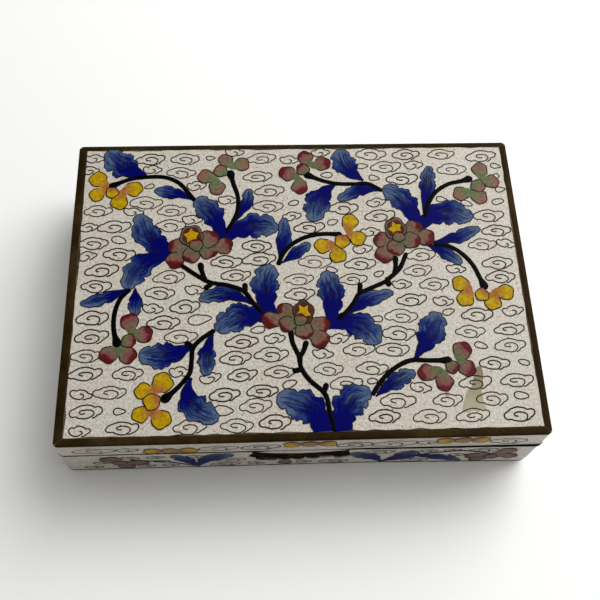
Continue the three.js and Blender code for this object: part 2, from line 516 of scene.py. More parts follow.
def outer_path(start, end):
    """Points along the lid's outer edge from one corner's middle to the next."""
    along = (end - start).normalized()
    out = Vector((along.y, -along.x))
    length = (end - start).length
    rounded = []
    for share in (0.0, 0.3, 0.6, 0.85):
        to_straight = MITRE_REACH * (1 - share)
        rounded.append((MITRE_REACH * share, math.sqrt(LID_CORNER ** 2 - to_straight ** 2) - MITRE_REACH))
    straight = between(MITRE_REACH, length - MITRE_REACH, STRIP_STEPS)
    path = rounded + [(run, LID_CORNER - MITRE_REACH) for run in straight]
    path += [(length - run, lift) for run, lift in reversed(rounded)]
    return [start + along * run + out * lift for run, lift in path]


def border_strip(start, end, inner_start, inner_end):
    """One mitred strip between two corners, as a closed bar."""
    along = (end - start).normalized()
    sections = []
    for point in outer_path(start, end):
        share = (point - start).dot(along) / (end - start).length
        inner = inner_start.lerp(inner_end, share)
        section = []
        for across, height in strip_section:
            flat = point.lerp(inner, across) + along * MITRE_GAP * (1 - 2 * share)
            dent = noise.noise(Vector((*flat, height)) * 260) * STRIP_DENT if height > 0.3 * MM else 0
            section.append(Vector((*flat, BORDER_SEAT + height + dent)))
        sections.append(section)
    return loft(sections)


back_off = LID_CORNER - MITRE_REACH
mitres = {}
for name, x, y in (("front", -1, -1), ("right", 1, -1), ("back", 1, 1), ("left", -1, 1)):
    outer = Vector((x * (HALF_LENGTH - back_off), y * (HALF_DEPTH - back_off)))
    inner = Vector((PANEL_RIGHT if x > 0 else PANEL_LEFT, PANEL_BACK if y > 0 else PANEL_FRONT))
    mitres[name] = (outer, inner)
for name, following in zip(mitres, [*mitres][1:] + [*mitres][:1]):
    (start, inner_start), (end, inner_end) = mitres[name], mitres[following]
    strip_name = f"lid_border_{name}"
    strip = shown_piece(strip_name, border_strip(start, end, inner_start, inner_end), brass)
    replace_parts(strip, strip_name)

# ==== Faces for the picture ====
# The picture was laid out flat, wire by wire, on each face of the box. A drawing is made in
# millimetres, across, up and out of its face, and these matrices lay it on the metal.

CELL_SUNK = 0.12
CELL_EDGE = 0.02


def face_matrix(origin, across, up):
    """The matrix that lays a flat drawing in millimetres on a face."""
    turned = Matrix((across, up, across.cross(up))).transposed()
    return Matrix.Translation(origin) @ (turned * MM).to_4x4()


X, Y, Z = Vector((1, 0, 0)), Vector((0, 1, 0)), Vector((0, 0, 1))
TOP = face_matrix(Vector((0, 0, LID_TOP)), X, Y)
SIDES = {}
for side, across in (("front", X), ("right", Y), ("back", -X), ("left", -Y)):
    out = across.cross(Z)
    SIDES[side] = face_matrix(Vector((out.x * HALF_LENGTH, out.y * HALF_DEPTH, LID_TOP)), across, Z)


class Cells:
    """Enamel cells of one colour: closed slabs, with each cell's own lengthwise map."""

    def __init__(self):
        self.vertices, self.faces, self.maps, self.tones = [], [], [], []

    def put(self, face, points, maps, heights, tone):
        """Adds points over a face at their heights, and gives their numbers."""
        first = len(self.vertices)
        self.vertices += [face @ Vector((*point, height)) for point, height in zip(points, heights)]
        self.maps += maps
        self.tones += [tone] * len(points)
        return list(range(first, len(self.vertices)))

    def close(self, face, points, maps, rim, tone):
        """Closes a cell with a skirt from its rim and an underside that is sunk in the metal."""
        under = self.put(face, points, maps, [-CELL_SUNK] * len(rim), tone)
        for i in range(len(rim)):
            self.faces.append((rim[i], rim[i - 1], under[i - 1], under[i]))
        self.faces.append(tuple(reversed(under)))

    def slab(self, rows, maps, level, tone, face):
        """A grid of rows of points, raised to a level that falls off at its sides."""
        across, count = len(rows[0]), len(rows) * len(rows[0])
        points = [point for row in rows for point in row]
        places = [place for row in maps for place in row]
        heights = [level - CELL_EDGE * abs(2 * place[1] - 1) ** 6 for place in places]
        top = self.put(face, points, places, heights, tone)
        for i in range(count - across):
            if (i + 1) % across:
                self.faces.append((top[i], top[i + 1], top[i + across + 1], top[i + across]))
        rim = [*range(across), *range(2 * across - 1, count, across)]
        rim += [*range(count - 2, count - across - 1, -1), *range(count - 2 * across, 0, -across)]
        self.close(face, [points[i] for i in rim], [places[i] for i in rim], [top[i] for i in rim], tone)

    def disc(self, outline, maps, centre, level, tone, face, heart_along=None):
        """A cell filled from its middle, through two lines inside its outline."""
        count = len(outline)
        if heart_along is None:
            heart_along = sum(place[0] for place in maps) / count
        centre_map = Vector((heart_along, 0.5))
        inner = self.put(face, [centre], [centre_map], [level], tone) * count
        for share, drop in ((0.45, 0), (0.8, 0), (1.0, CELL_EDGE)):
            points = [centre.lerp(point, share) for point in outline]
            places = [centre_map.lerp(Vector(place), share) for place in maps]
            line = self.put(face, points, places, [level - drop] * count, tone)
            for i in range(count):
                corners = (inner[i - 1], line[i - 1], line[i], inner[i])
                self.faces.append(tuple(dict.fromkeys(corners)))
            inner = line
        self.close(face, outline, maps, inner, tone)

    def piece(self, name, material, slot):
        """The cells as one piece of the box."""
        mesh = bpy.data.meshes.new(name)
        mesh.from_pydata(self.vertices, [], self.faces)
        outwards(mesh)
        along = mesh.uv_layers.new(name="cell")
        for loop in mesh.loops:
            along.data[loop.index].uv = self.maps[loop.vertex_index]
        mesh.attributes.new("tone", "FLOAT", "POINT").data.foreach_set("value", self.tones)
        shown_piece(name, mesh, material)


# ==== Wires ====
# Thin flat brass wires stand on edge in the enamel and are ground flush with it, so only
# their dark top edges show. One node tree bends them and gives them their section.


def new_group(name, **inputs):
    """A node tree with a mesh and named inputs going in, and where they come out."""
    tree = bpy.data.node_groups.new(name, "GeometryNodeTree")
    for socket, kind in {"Geometry": "Geometry", **inputs, "Material": "Material"}.items():
        tree.interface.new_socket(socket, in_out="INPUT", socket_type=f"NodeSocket{kind}")
    tree.interface.new_socket("Geometry", in_out="OUTPUT", socket_type="NodeSocketGeometry")
    return tree, tree.nodes.new("NodeGroupInput").outputs


def end_group(tree, geometry, material):
    """Makes what a tree has laid out real, in its material."""
    real = add_node(tree, "GeometryNodeRealizeInstances", Geometry=geometry)
    finished = add_node(tree, "GeometryNodeSetMaterial", Geometry=real.outputs[0], Material=material)
    tree.links.new(finished.outputs[0], tree.nodes.new("NodeGroupOutput").inputs[0])
    return tree


def grown(mesh, tree, **values):
    """The plain mesh that a node tree makes of a mesh."""
    holder = in_scene("holder", mesh)
    modifier = holder.modifiers.new("tree", "NODES")
    modifier.node_group = tree
    for item in tree.interface.items_tree:
        if item.in_out == "INPUT" and item.name in values:
            modifier[item.identifier] = values[item.name]
    return applied(holder)


def wire_tree():
    """The node tree that turns drawn lines into wires of one width, slightly hand-bent."""
    tree, given = new_group("laid_wire", Width="Float", Rise="Float", Bend="Float", Sides="Int", Seed="Float")
    wobble = add_node(tree, "ShaderNodeTexNoise", {"noise_dimensions": "4D"}, W=given["Seed"], Scale=0.55)
    offset = wobble.outputs["Color"]
    for operation, amount in (("SUBTRACT", (0.5, 0.5, 0.5)), ("MULTIPLY", (1, 1, 0))):
        changed = add_node(tree, "ShaderNodeVectorMath", {"operation": operation}, i0=offset, i1=amount)
        offset = changed.outputs[0]
    bend = add_node(tree, "ShaderNodeVectorMath", {"operation": "SCALE"}, i0=offset, Scale=given["Bend"])
    lines = add_node(tree, "GeometryNodeMeshToCurve", Mesh=given["Geometry"])
    bent = add_node(tree, "GeometryNodeSetPosition", Geometry=lines.outputs[0], Offset=bend.outputs[0])
    level = add_node(tree, "GeometryNodeSetCurveNormal", {"mode": "Z_UP"}, Curve=bent.outputs[0])
    circle = add_node(tree, "GeometryNodeCurvePrimitiveCircle", Resolution=given["Sides"], Radius=1.0)
    upright = add_node(tree, "GeometryNodeTransform", Geometry=circle.outputs[0], Rotation=(0, 0, QUARTER))
    size = add_node(tree, "ShaderNodeCombineXYZ", X=combined(given["Width"], 0.5), Y=given["Rise"], Z=1.0)
    section = add_node(tree, "GeometryNodeTransform", Geometry=upright.outputs[0], Scale=size.outputs[0])
    girth = add_node(tree, "GeometryNodeInputNamedAttribute", {"data_type": "FLOAT"}, Name="girth")
    wire = add_node(
        tree, "GeometryNodeCurveToMesh", Curve=level.outputs[0], Profile_Curve=section.outputs[0],
        Scale=girth.outputs[0], Fill_Caps=True,
    )
    return end_group(tree, wire.outputs[0], given["Material"])


laid_wire = wire_tree()


class Lines:
    """Lines drawn for wires or stems, each with its level and its girth along it."""

    def __init__(self):
        self.by_face = {}

    def add(self, face, points, level, girth=1.0, closed=False):
        """Adds one line; girth is one number, or one for each point. A level of None is in the points."""
        key = tuple(tuple(row) for row in face)
        vertices, edges, girths = self.by_face.setdefault(key, ([], [], []))
        base, count = len(vertices), len(points)
        vertices += [(point[0], point[1], point[2] if level is None else level) for point in points]
        girths += girth if isinstance(girth, list) else [girth] * count
        edges += [(base + i, base + i + 1) for i in range(count - 1)]
        if closed:
            edges.append((base + count - 1, base))

    def piece(self, name, material, slot, width, rise, sides=3, bend=0.0, seed=0.0):
        """The wires as one piece of the box, laid on their faces."""
        whole = bmesh.new()
        for key, (vertices, edges, girths) in self.by_face.items():
            drawn = bpy.data.meshes.new("drawn")
            drawn.from_pydata(vertices, edges, [])
            drawn.attributes.new("girth", "FLOAT", "POINT").data.foreach_set("value", girths)
            made = grown(
                drawn, laid_wire, Width=width, Rise=rise, Bend=bend, Sides=sides, Seed=seed, Material=material
            )
            made.transform(Matrix(key))
            whole.from_mesh(made)
        mesh = bpy.data.meshes.new(name)
        whole.to_mesh(mesh)
        whole.free()
        outwards(mesh)
        shown_piece(name, mesh, material)


wire_metal = mottled(
    "dull_wire_brass", (0.5, 0.15, 0.08), (160.0, 4.0),
    (0.35, (0.008, 0.005, 0.002)), (0.65, (0.034, 0.024, 0.01)),
)
dark_wire = mottled(
    "dark_outline_wire", (0.5, 0.1, 0.06), (200.0, 4.0),
    (0.35, (0.003, 0.002, 0.002)), (0.65, (0.014, 0.009, 0.006)),
)

solder = mottled(
    "worn_solder", (0.45, 0.5), (1200.0, 3.0), (0.35, (0.05, 0.035, 0.018)), (0.65, (0.22, 0.17, 0.1))
)
SOLDER_WIDTH = 0.34
SOLDER_RISE = 0.03
SOLDER_LEVEL = 0.04
SOLDER_REACH = 0.997
solder_lines = Lines()
for outer, inner in mitres.values():
    solder_lines.add(TOP, [outer / MM * SOLDER_REACH, inner / MM], SOLDER_LEVEL)
solder_lines.piece("lid_border_solder", solder, "border_brass", SOLDER_WIDTH, SOLDER_RISE)

# ==== Leaves ====
# Cobalt enamel leaves, deep blue at the root and washed out to steel blue at the ruffled
# tip, each walled in by a dark wire and crossed by a few wavy veins.

LEAF_SEED = 100
LEAF_LEVEL = 0.06
LEAF_STEP = 0.0015
LEAF_ROWS = 48
LEAF_COLUMNS = 8
LEAF_WIDEST = 0.58
RUFFLE = 0.27
SCALLOP = 0.14
ROOT_ON_FLOWER = 0.46
ROOT_ON_STALK = 0.13
ROOT_ON_BORDER = 0.68
SLIM = 2.05
VEIN_STEPS = 8
BROAD_VEINS = ((-0.6, 0.46, 0.88), (-0.22, 0.52, 0.95), (0.2, 0.44, 0.92), (0.58, 0.50, 0.86))
SLIM_VEINS = ((0.1, 0.5, 0.92),)
LEAF_WIRE = 0.30
LEAF_WIRE_RISE = 0.035
BLUE_DEEP = (0.0003, 0.0010, 0.085)
BLUE_MIDDLE = (0.003, 0.010, 0.115)
BLUE_PALE = (0.028, 0.055, 0.138)
BLUE_WASHED = (0.068, 0.103, 0.182)


def total(first, *others):
    """Adds values up."""
    for other in others:
        first = combined(first, other, "ADD")
    return first


def swing(value, size):
    """How far a value is from one half, times a size."""
    return combined(combined(value, 0.5, "SUBTRACT"), size)


def cell_values(tree):
    """How far along and across its own cell a point is, and the cell's tone."""
    cell = add_node(tree, "ShaderNodeUVMap", {"uv_map": "cell"}).outputs["UV"]
    parts = add_node(tree, "ShaderNodeSeparateXYZ", Vector=cell).outputs
    tone = add_node(tree, "ShaderNodeAttribute", {"attribute_name": "tone"}).outputs["Fac"]
    return parts["X"], parts["Y"], tone


def cell_grain(values, stretch, *texture, **more):
    """A noise that is stretched along each cell and differs from cell to cell."""
    tree = values[0].id_data
    x, y, z = (combined(value, size) for value, size in zip(values, stretch))
    place = add_node(tree, "ShaderNodeCombineXYZ", X=x, Y=y, Z=z).outputs[0]
    return grain(tree, *texture, Vector=place, **more)


def grained(shader, colour, scale, share, light):
    """Gives the shader a colour with a fine grain that darkens and lightens it."""
    fine = grain(shader.id_data, scale, 3.0, 0.7)
    shade = ramp(fine, (0.3, (0.55, 0.55, 0.55)), (0.7, (light, light, light)))
    coloured(shader, blend(share, colour, shade, "MULTIPLY"), fine, 0.03 * MM, 0.5)


def leaf_enamel():
    """Cobalt at the root that streaks out into steel blue towards the tip and the edges."""
    material, tree, shader = new_material("cobalt_enamel", 0.4, gloss=0.02)
    along, across, tone = cell_values(tree)
    streaks = cell_grain((along, across, tone), (2.2, 6.5, 37.0), 1.0, 4.0, 0.65, Distortion=0.6)
    edge = swing(across, 2.0)
    patches = combined(swing(grain(tree, 420.0, 2.0), 0.75), along)
    reach = total(along, combined(combined(edge, edge), 0.16), swing(streaks, 1.15), patches)
    colour = ramp(reach, (0.50, BLUE_DEEP), (0.62, BLUE_MIDDLE), (0.84, BLUE_PALE), (1.0, BLUE_WASHED))
    grained(shader, colour, 1500.0, 0.55, 1.35)
    return material


def rib_point(rib, t):
    """A point on the smooth rib through a root, a middle and a tip."""
    root, middle, tip = (Vector(point) for point in rib)
    return root * (1 - t) * (1 - 2 * t) + middle * 4 * t * (1 - t) + tip * t * (2 * t - 1)


def leaf_spread(t, width, root, ruffles, phase):
    """How far a leaf reaches to one side of its rib: narrow at the root, ruffled to the tip."""
    swell = min(t / 0.55, 1)
    body = root + (1 - root) * swell * swell * (3 - 2 * swell)
    if t > LEAF_WIDEST:
        body *= math.sqrt(max(1 - ((t - LEAF_WIDEST) / (1.01 - LEAF_WIDEST)) ** 2.2, 0.006))
    ruffle = abs(math.sin(math.pi * (ruffles * t ** 1.25 + phase) + 0.5 * math.sin(9 * t + 6 * phase)))
    depth = RUFFLE * min(t / 0.3, 1)
    scallop = SCALLOP * clamped((t - 0.3) / 0.2) * abs(math.sin(math.pi * (3.1 * ruffles * t + 5 * phase)))
    return width * body * (1 - depth + depth * ruffle * 1.25 + scallop)


def draw_leaf(cells, outlines, face, rib, left, right, index, root=ROOT_ON_STALK):
    """One leaf with its outline wire and its veins."""
    dice = random.Random(LEAF_SEED + index)
    broad = max(left, right) > SLIM
    ruffles = (3.1, 3.6) if broad else (1.6, 2.0)
    phases = (dice.random(), dice.random())
    columns = between(0, 1, LEAF_COLUMNS)
    rows, maps = [], []
    for t in between(0, 1, LEAF_ROWS):
        middle = rib_point(rib, t)
        along = (rib_point(rib, min(t + 0.01, 1)) - rib_point(rib, max(t - 0.01, 0))).normalized()
        side = Vector((-along.y, along.x))
        reach_left, reach_right = map(leaf_spread, (t, t), (left, right), (root, root), ruffles, phases)
        shares = [1 - 2 * column for column in columns]
        rows.append([middle + side * share * (reach_left if share > 0 else reach_right) for share in shares])
        maps.append([(t, column) for column in columns])
    top = LEAF_LEVEL + index * LEAF_STEP
    cells.slab([row[::-1] for row in rows], [row[::-1] for row in maps], top, dice.random(), face)
    bare = round(LEAF_ROWS * (0.26 if root == ROOT_ON_FLOWER else 0.06))
    outlines.add(face, [row[0] for row in rows[bare:]] + [row[-1] for row in rows[:bare - 1:-1]], top)
    for lean, start, end in BROAD_VEINS if broad else SLIM_VEINS:
        wave = dice.uniform(0.05, 0.11)
        phase = dice.uniform(0, 6)
        line = []
        for i, t in enumerate(between(start, end, VEIN_STEPS)):
            share = lean * (0.55 + 0.45 * i / VEIN_STEPS) + wave * math.sin(phase + 9 * t)
            row = rows[round(t * LEAF_ROWS)]
            column = (1 - share) / 2 * LEAF_COLUMNS
            low = int(min(max(column, 0), LEAF_COLUMNS - 1))
            line.append(row[low].lerp(row[low + 1], column - low))
        outlines.add(face, line, top, [1.05 - 0.05 * i for i in range(VEIN_STEPS + 1)])


# Each leaf's root, middle and tip, and how far it reaches to its left and to its right.
FLOWER_LEAVES = (
    (((-21.5, 13.5), (-24.3, 21.0), (-29.3, 26)), 3.1, 3.3),
    (((-22, 12.5), (-13.5, 17.2), (-5.8, 15.8)), 3.6, 3.5),
    (((-33.5, 10), (-41.0, 13.5), (-44.8, 21.6)), 3.5, 3.2),
    (((-34, 9.5), (-43.0, 5.6), (-46.8, -1.8)), 3.2, 3.4),
    (((-7.5, -11.5), (-9.7, -2.8), (-7.6, 4.8)), 3.5, 3.4),
    (((34, 16), (31.5, 23.8), (25.3, 29.2)), 3.1, 3.4),
    (((34, 15.5), (42.0, 20.6), (50.0, 18.2)), 3.7, 3.5),
    (((8, -13), (8.6, -5), (7.0, 2.6)), 3.4, 3.1),
    (((6, -13.5), (14.5, -13.4), (20.3, -19.3)), 3.6, 3.4),
    (((-7, -11.5), (-15.8, -10.5), (-22.4, -14.8)), 3.4, 3.6),
)
FOOT_LEAVES = (
    (((4.6, -42.85), (1.4, -36.8), (-7.2, -33.8)), 4.0, 3.8),
    (((9.5, -42.85), (11.0, -36.3), (17.2, -32.3)), 3.8, 3.8),
)
STALK_LEAVES = (
    (((-43.5, 34.6), (-49.4, 37.6), (-55.2, 43)), 4.1, 3.6),
    (((-29.5, 26), (-35.5, 28.6), (-41, 29.3)), 1.9, 1.7),
    (((-18, 18.5), (-14.6, 24.6), (-14, 29.5)), 1.6, 1.6),
    (((-5.6, 5), (-4.2, 12), (-3.8, 19.7)), 1.8, 1.9),
    (((-5, 5.3), (-0.8, 8.4), (3.2, 11.4)), 1.6, 1.6),
    (((19.8, 32.0), (15.5, 36.5), (13.3, 43)), 3.5, 3.0),
    (((11.6, 30.8), (6.8, 26), (4.8, 18.5)), 3.3, 3.6),
    (((24.5, 28.3), (18.5, 28.8), (12.0, 25.5)), 2.0, 1.7),
    (((36.3, 20.5), (38.2, 29), (39.5, 36.6)), 2.1, 2.1),
    (((37.8, 11.0), (45, 12.6), (52, 15.5)), 1.8, 1.8),
    (((36, 10.4), (40.8, 8), (45.4, 4.1)), 1.8, 1.7),
    (((11.0, -11.6), (17.5, -6.8), (25.5, -4.5)), 2.0, 1.9),
    (((29.6, -23.8), (34.3, -17.3), (37.1, -10.5)), 3.5, 3.4),
    (((18.6, -33.9), (23.5, -30.2), (29.4, -27.4)), 2.1, 2.1),
    (((-46.5, -1.5), (-52.5, -4.2), (-59.4, -5.9)), 1.7, 1.7),
    (((-45, -1.5), (-44.8, -5.5), (-44.7, -9.8)), 1.7, 1.7),
    (((-12.5, -7.5), (-20, -4), (-27.4, -5.7)), 2.0, 2.3),
    (((-23.6, -14.6), (-25.3, -21), (-25, -27)), 2.1, 2.1),
    (((-28.2, -18.3), (-35.5, -20.8), (-43, -20.7)), 3.5, 2.9),
    (((-29.3, -27.6), (-29.5, -34.5), (-22.2, -38.7)), 3.6, 3.0),
)

cobalt = leaf_enamel()
lid_leaf_cells, lid_leaf_wires = Cells(), Lines()
leaf_plans = [(ROOT_ON_STALK, *plan) for plan in STALK_LEAVES]
leaf_plans += [(ROOT_ON_FLOWER, *plan) for plan in FLOWER_LEAVES]
leaf_plans += [(ROOT_ON_BORDER, *plan) for plan in FOOT_LEAVES]
for leaf_index, (root, rib, left, right) in enumerate(leaf_plans):
    draw_leaf(lid_leaf_cells, lid_leaf_wires, TOP, rib, left, right, leaf_index, root)
lid_leaf_cells.piece("lid_top_leaves", cobalt, "blue_enamel")
leaf_wire = (dark_wire, "wire_brass", LEAF_WIRE, LEAF_WIRE_RISE)
lid_leaf_wires.piece("lid_top_leaf_wires", *leaf_wire, bend=0.1, seed=3.0)

# ==== Stems ====
# The branches and stalks are broad strips of black enamel, thickened to a knob where a
# blossom sits, with short thorns and stubs along the main branches.

STEM_LEVEL = 0.09
STEM_RISE = 0.07
STEM_SIDES = 8
STEM_WIDTH = 1.3
# How thick each stem's knob is against the stem, and the points that it runs through.
LID_STEMS = (
    (1.7, ((-53, 31.2), (-48.5, 33.2), (-43.5, 34), (-38, 33.8), (-34, 31.8), (-31.3, 28.5), (-29.5, 26))),
    (1.9, ((-19.1, 34.7), (-18.3, 31.5), (-17, 27), (-17, 22.5), (-18.5, 18.5), (-20.2, 15.5))),
    (1.9, ((-49, -17.5), (-50, -14), (-50.2, -9.5), (-49, -5), (-46.5, -2))),
    (1.3, ((11.5, 14.2), (7, 14.4), (2.5, 13.6), (-1.5, 11.5), (-4.3, 8.5), (-5.8, 5))),
    (1.8, ((3.5, 34), (8, 32), (12, 31), (17, 30.8), (21, 30.8), (24.8, 28.5))),
    (1.8, ((50.8, 32), (48.5, 31.3), (44.5, 30.3), (40.5, 27.5), (38, 23.5), (36.8, 19.5))),
    (1.8, ((51, -2.7), (50.2, -0.5), (48.5, 4), (45.5, 7.8), (42, 10), (38.5, 10.3))),
    (1.7, ((38.5, -24.4), (33.5, -24.3), (28.5, -24.2), (24, -26.3), (20.5, -29.5), (17.8, -33.3))),
    (2.0, ((-35.7, -33), (-32.5, -30), (-29.8, -26.5), (-29.3, -23), (-29, -19.5), (-27, -17),
           (-23.5, -14.5))),
    (1.0, ((-32.5, 5), (-28, 1.7), (-24.5, -0.3), (-20, -1.2), (-15.5, -3), (-13, -6.5), (-10.5, -9.5))),
    (1.3, ((-27.3, 5), (-26.9, 3), (-26.1, 0.8))),
    (1.2, ((-25.6, -1.8), (-24, -0.6))),
    (1.2, ((-15.1, -1.4), (-15.0, -3.4))),
    (1.0, ((30, 7.3), (28.5, 4), (27, 2.0), (25, 0.3), (23.5, -1), (19, -3), (16, -4.5), (14.5, -7),
           (12.5, -9.5), (10, -12))),
    (1.2, ((27, 6.2), (26.8, 3.5), (26.2, 1.2))),
    (1.3, ((24.4, -1.6), (24.2, 0.2))),
    (1.1, ((16.5, -1.9), (16.2, -4.4))),
    (1.2, ((-3, -15.5), (-2.6, -18.5), (-1.0, -22.3))),
    (1.2, ((0.9, -18.7), (0.2, -20.8), (-0.9, -22.6))),
    (1.2, ((-0.9, -22.3), (-0.6, -25.5), (1.5, -29), (4.5, -31.8), (5.8, -34), (6.4, -38), (7.1, -41),
           (7.2, -42.6))),
    (1.2, ((-2.1, -26.3), (-0.6, -26.0))),
    (1.2, ((5.7, -30.7), (5.1, -32.4))),
    (1.3, ((-30.4, -18.2), (-28.9, -19.3))),
)


def smooth_line(points, steps=5):
    """A smooth line through given points."""
    ends = [Vector(points[0]) * 2 - Vector(points[1])]
    ends += [Vector(point) for point in points]
    ends.append(Vector(points[-1]) * 2 - Vector(points[-2]))
    line = []
    for before, start, end, after in zip(ends, ends[1:], ends[2:], ends[3:]):
        for t in between(0, 1, steps)[:-1]:
            line.append(0.5 * (
                2 * start + (end - before) * t + (2 * before - 5 * start + 4 * end - after) * t * t
                + (3 * start - before - 3 * end + after) * t * t * t
            ))
    line.append(Vector(points[-1]))
    return line


def draw_stem(lines, face, points, knob, width=1.0):
    """One stem; its first end swells to a knob, and the rest is a little uneven."""
    line = smooth_line(points)
    round_end = 0.55 * STEM_WIDTH * width * knob
    first = line[0] - (line[1] - line[0]).normalized() * round_end
    last = line[-1] + (line[-1] - line[-2]).normalized() * 0.3
    line = [first, *(first.lerp(line[0], share) for share in (0.15, 0.4, 0.7)), *line, last]
    girths = []
    run = 0.0
    for i, point in enumerate(line):
        run += (point - line[i - 1]).length if i else 0.0
        swell = (knob - 1) * math.exp(-(max(run - round_end, 0) / 1.4) ** 2)
        uneven = 0.10 * noise.noise(Vector((point.x, point.y, 0)) * 0.8)
        girths.append(width * (1 + swell + uneven))
    for place, share in ((0, 0.15), (1, 0.53), (2, 0.8), (3, 0.95), (-1, 0.45)):
        girths[place] *= share
    lines.add(face, line, STEM_LEVEL, girths)


black = mottled(
    "black_enamel", (0.4, 0.0, 0.02), (700.0, 4.0, 0.7), (0.4, (0.0002, 0.0002, 0.0002)),
    (0.7, (0.002, 0.002, 0.002)), raised=(0.03 * MM, 0.6),
)
lid_stem_lines = Lines()
for knob, points in LID_STEMS:
    draw_stem(lid_stem_lines, TOP, points, knob)
lid_stem_lines.piece("lid_top_stems", black, "black_enamel", STEM_WIDTH, STEM_RISE, STEM_SIDES)

# ==== Small blossoms ====
# Each has four round petals on two calyxes and a small round one between them. The enamel is
# shaded by hand: amber into yellow, or green through dusty pink into dark red.

PETAL_LEVEL = 0.12
PETAL_STEP = 0.024
PETAL_POINTS = 26
NECK_GAP = 3
PETAL_WIRE = 0.33
PETAL_WIRE_RISE = 0.02
# Each enamel's name, where its tip's colour starts, and its colours from the calyx to the tip.
PETAL_ENAMELS = {
    "yellow": ("yellow_enamel", 0.72,
               (0.290, 0.100, 0.030), (0.33, 0.185, 0.006), (0.41, 0.265, 0.002), (0.36, 0.225, 0.002)),
    "amber": ("amber_enamel", 0.9,
              (0.200, 0.090, 0.030), (0.260, 0.130, 0.045), (0.300, 0.160, 0.060), (0.230, 0.150, 0.010)),
    "red": ("red_petal_enamel", 0.76,
            (0.085, 0.110, 0.050), (0.145, 0.085, 0.060), (0.160, 0.058, 0.048), (0.100, 0.006, 0.010)),
    "rose": ("rose_petal_enamel", 0.82,
             (0.095, 0.095, 0.045), (0.120, 0.090, 0.055), (0.155, 0.072, 0.052), (0.085, 0.004, 0.005)),
    "pink": ("pink_petal_enamel", 0.84,
             (0.095, 0.130, 0.055), (0.130, 0.115, 0.062), (0.180, 0.098, 0.062), (0.195, 0.078, 0.052)),
    "mauve": ("mauve_petal_enamel", 0.88,
              (0.110, 0.090, 0.064), (0.130, 0.080, 0.060), (0.140, 0.072, 0.058), (0.075, 0.024, 0.021)),
    "ring": ("ring_enamel", 0.88,
             (0.060, 0.004, 0.003), (0.070, 0.008, 0.004), (0.060, 0.020, 0.010), (0.150, 0.105, 0.080)),
}


def around(count):
    """Even angles once round a circle."""
    return [2 * math.pi * i / count for i in range(count)]


def petal_enamel(name, tip_start, *colours):
    """Hand-shaded petal enamel from the calyx, through two washes, to the tip."""
    material, tree, shader = new_material(name, 0.38, gloss=0.04)
    along, across, tone = cell_values(tree)
    wash = cell_grain((along, across, tone), (1.6, 2.4, 41.0), 1.3, 3.0, 0.55)
    lean = swing(across, combined(tone, 0.5, "SUBTRACT"))
    reach = total(along, combined(lean, 0.9), swing(wash, 0.5))
    places = (0.16, 0.46, tip_start - 0.08, tip_start + 0.03)
    grained(shader, ramp(reach, *zip(places, colours)), 1150.0, 0.8, 1.4)
    return material


def draw_petal(cells, outlines, face, calyx, centre, radius, index):
    """One round petal, drawn out into a neck where its calyx lies outside it."""
    dice = random.Random(f"{centre[0]} {centre[1]}")
    calyx, centre = Vector(calyx), Vector(centre)
    away = centre - calyx
    outward = away.normalized() if away.length > 0.05 else Vector((0, 1))
    side = Vector((-outward.y, outward.x))
    neck = max(away.length - radius * 0.8, 0)
    phase = dice.uniform(0, 6)
    outline, maps = [], []
    back = -radius - neck
    for angle in around(PETAL_POINTS):
        ruffle = 1 + 0.05 * math.sin(3 * angle + phase) + 0.05 * math.cos(5 * angle + 2 * phase)
        reach = radius * ruffle + neck * math.exp(-(abs(angle - math.pi) / 0.42) ** 2)
        along, across = reach * math.cos(angle), reach * math.sin(angle)
        outline.append(centre + outward * along + side * across)
        maps.append(((along - back) / (radius - back), 0.5 + across / (2.2 * radius)))
    top = PETAL_LEVEL + index * PETAL_STEP
    cells.disc(outline, maps, centre, top, dice.random(), face)
    if neck:
        half = PETAL_POINTS // 2
        outline = outline[half + NECK_GAP:] + outline[:half + 1 - NECK_GAP]
    outlines.add(face, outline, top, closed=not neck)


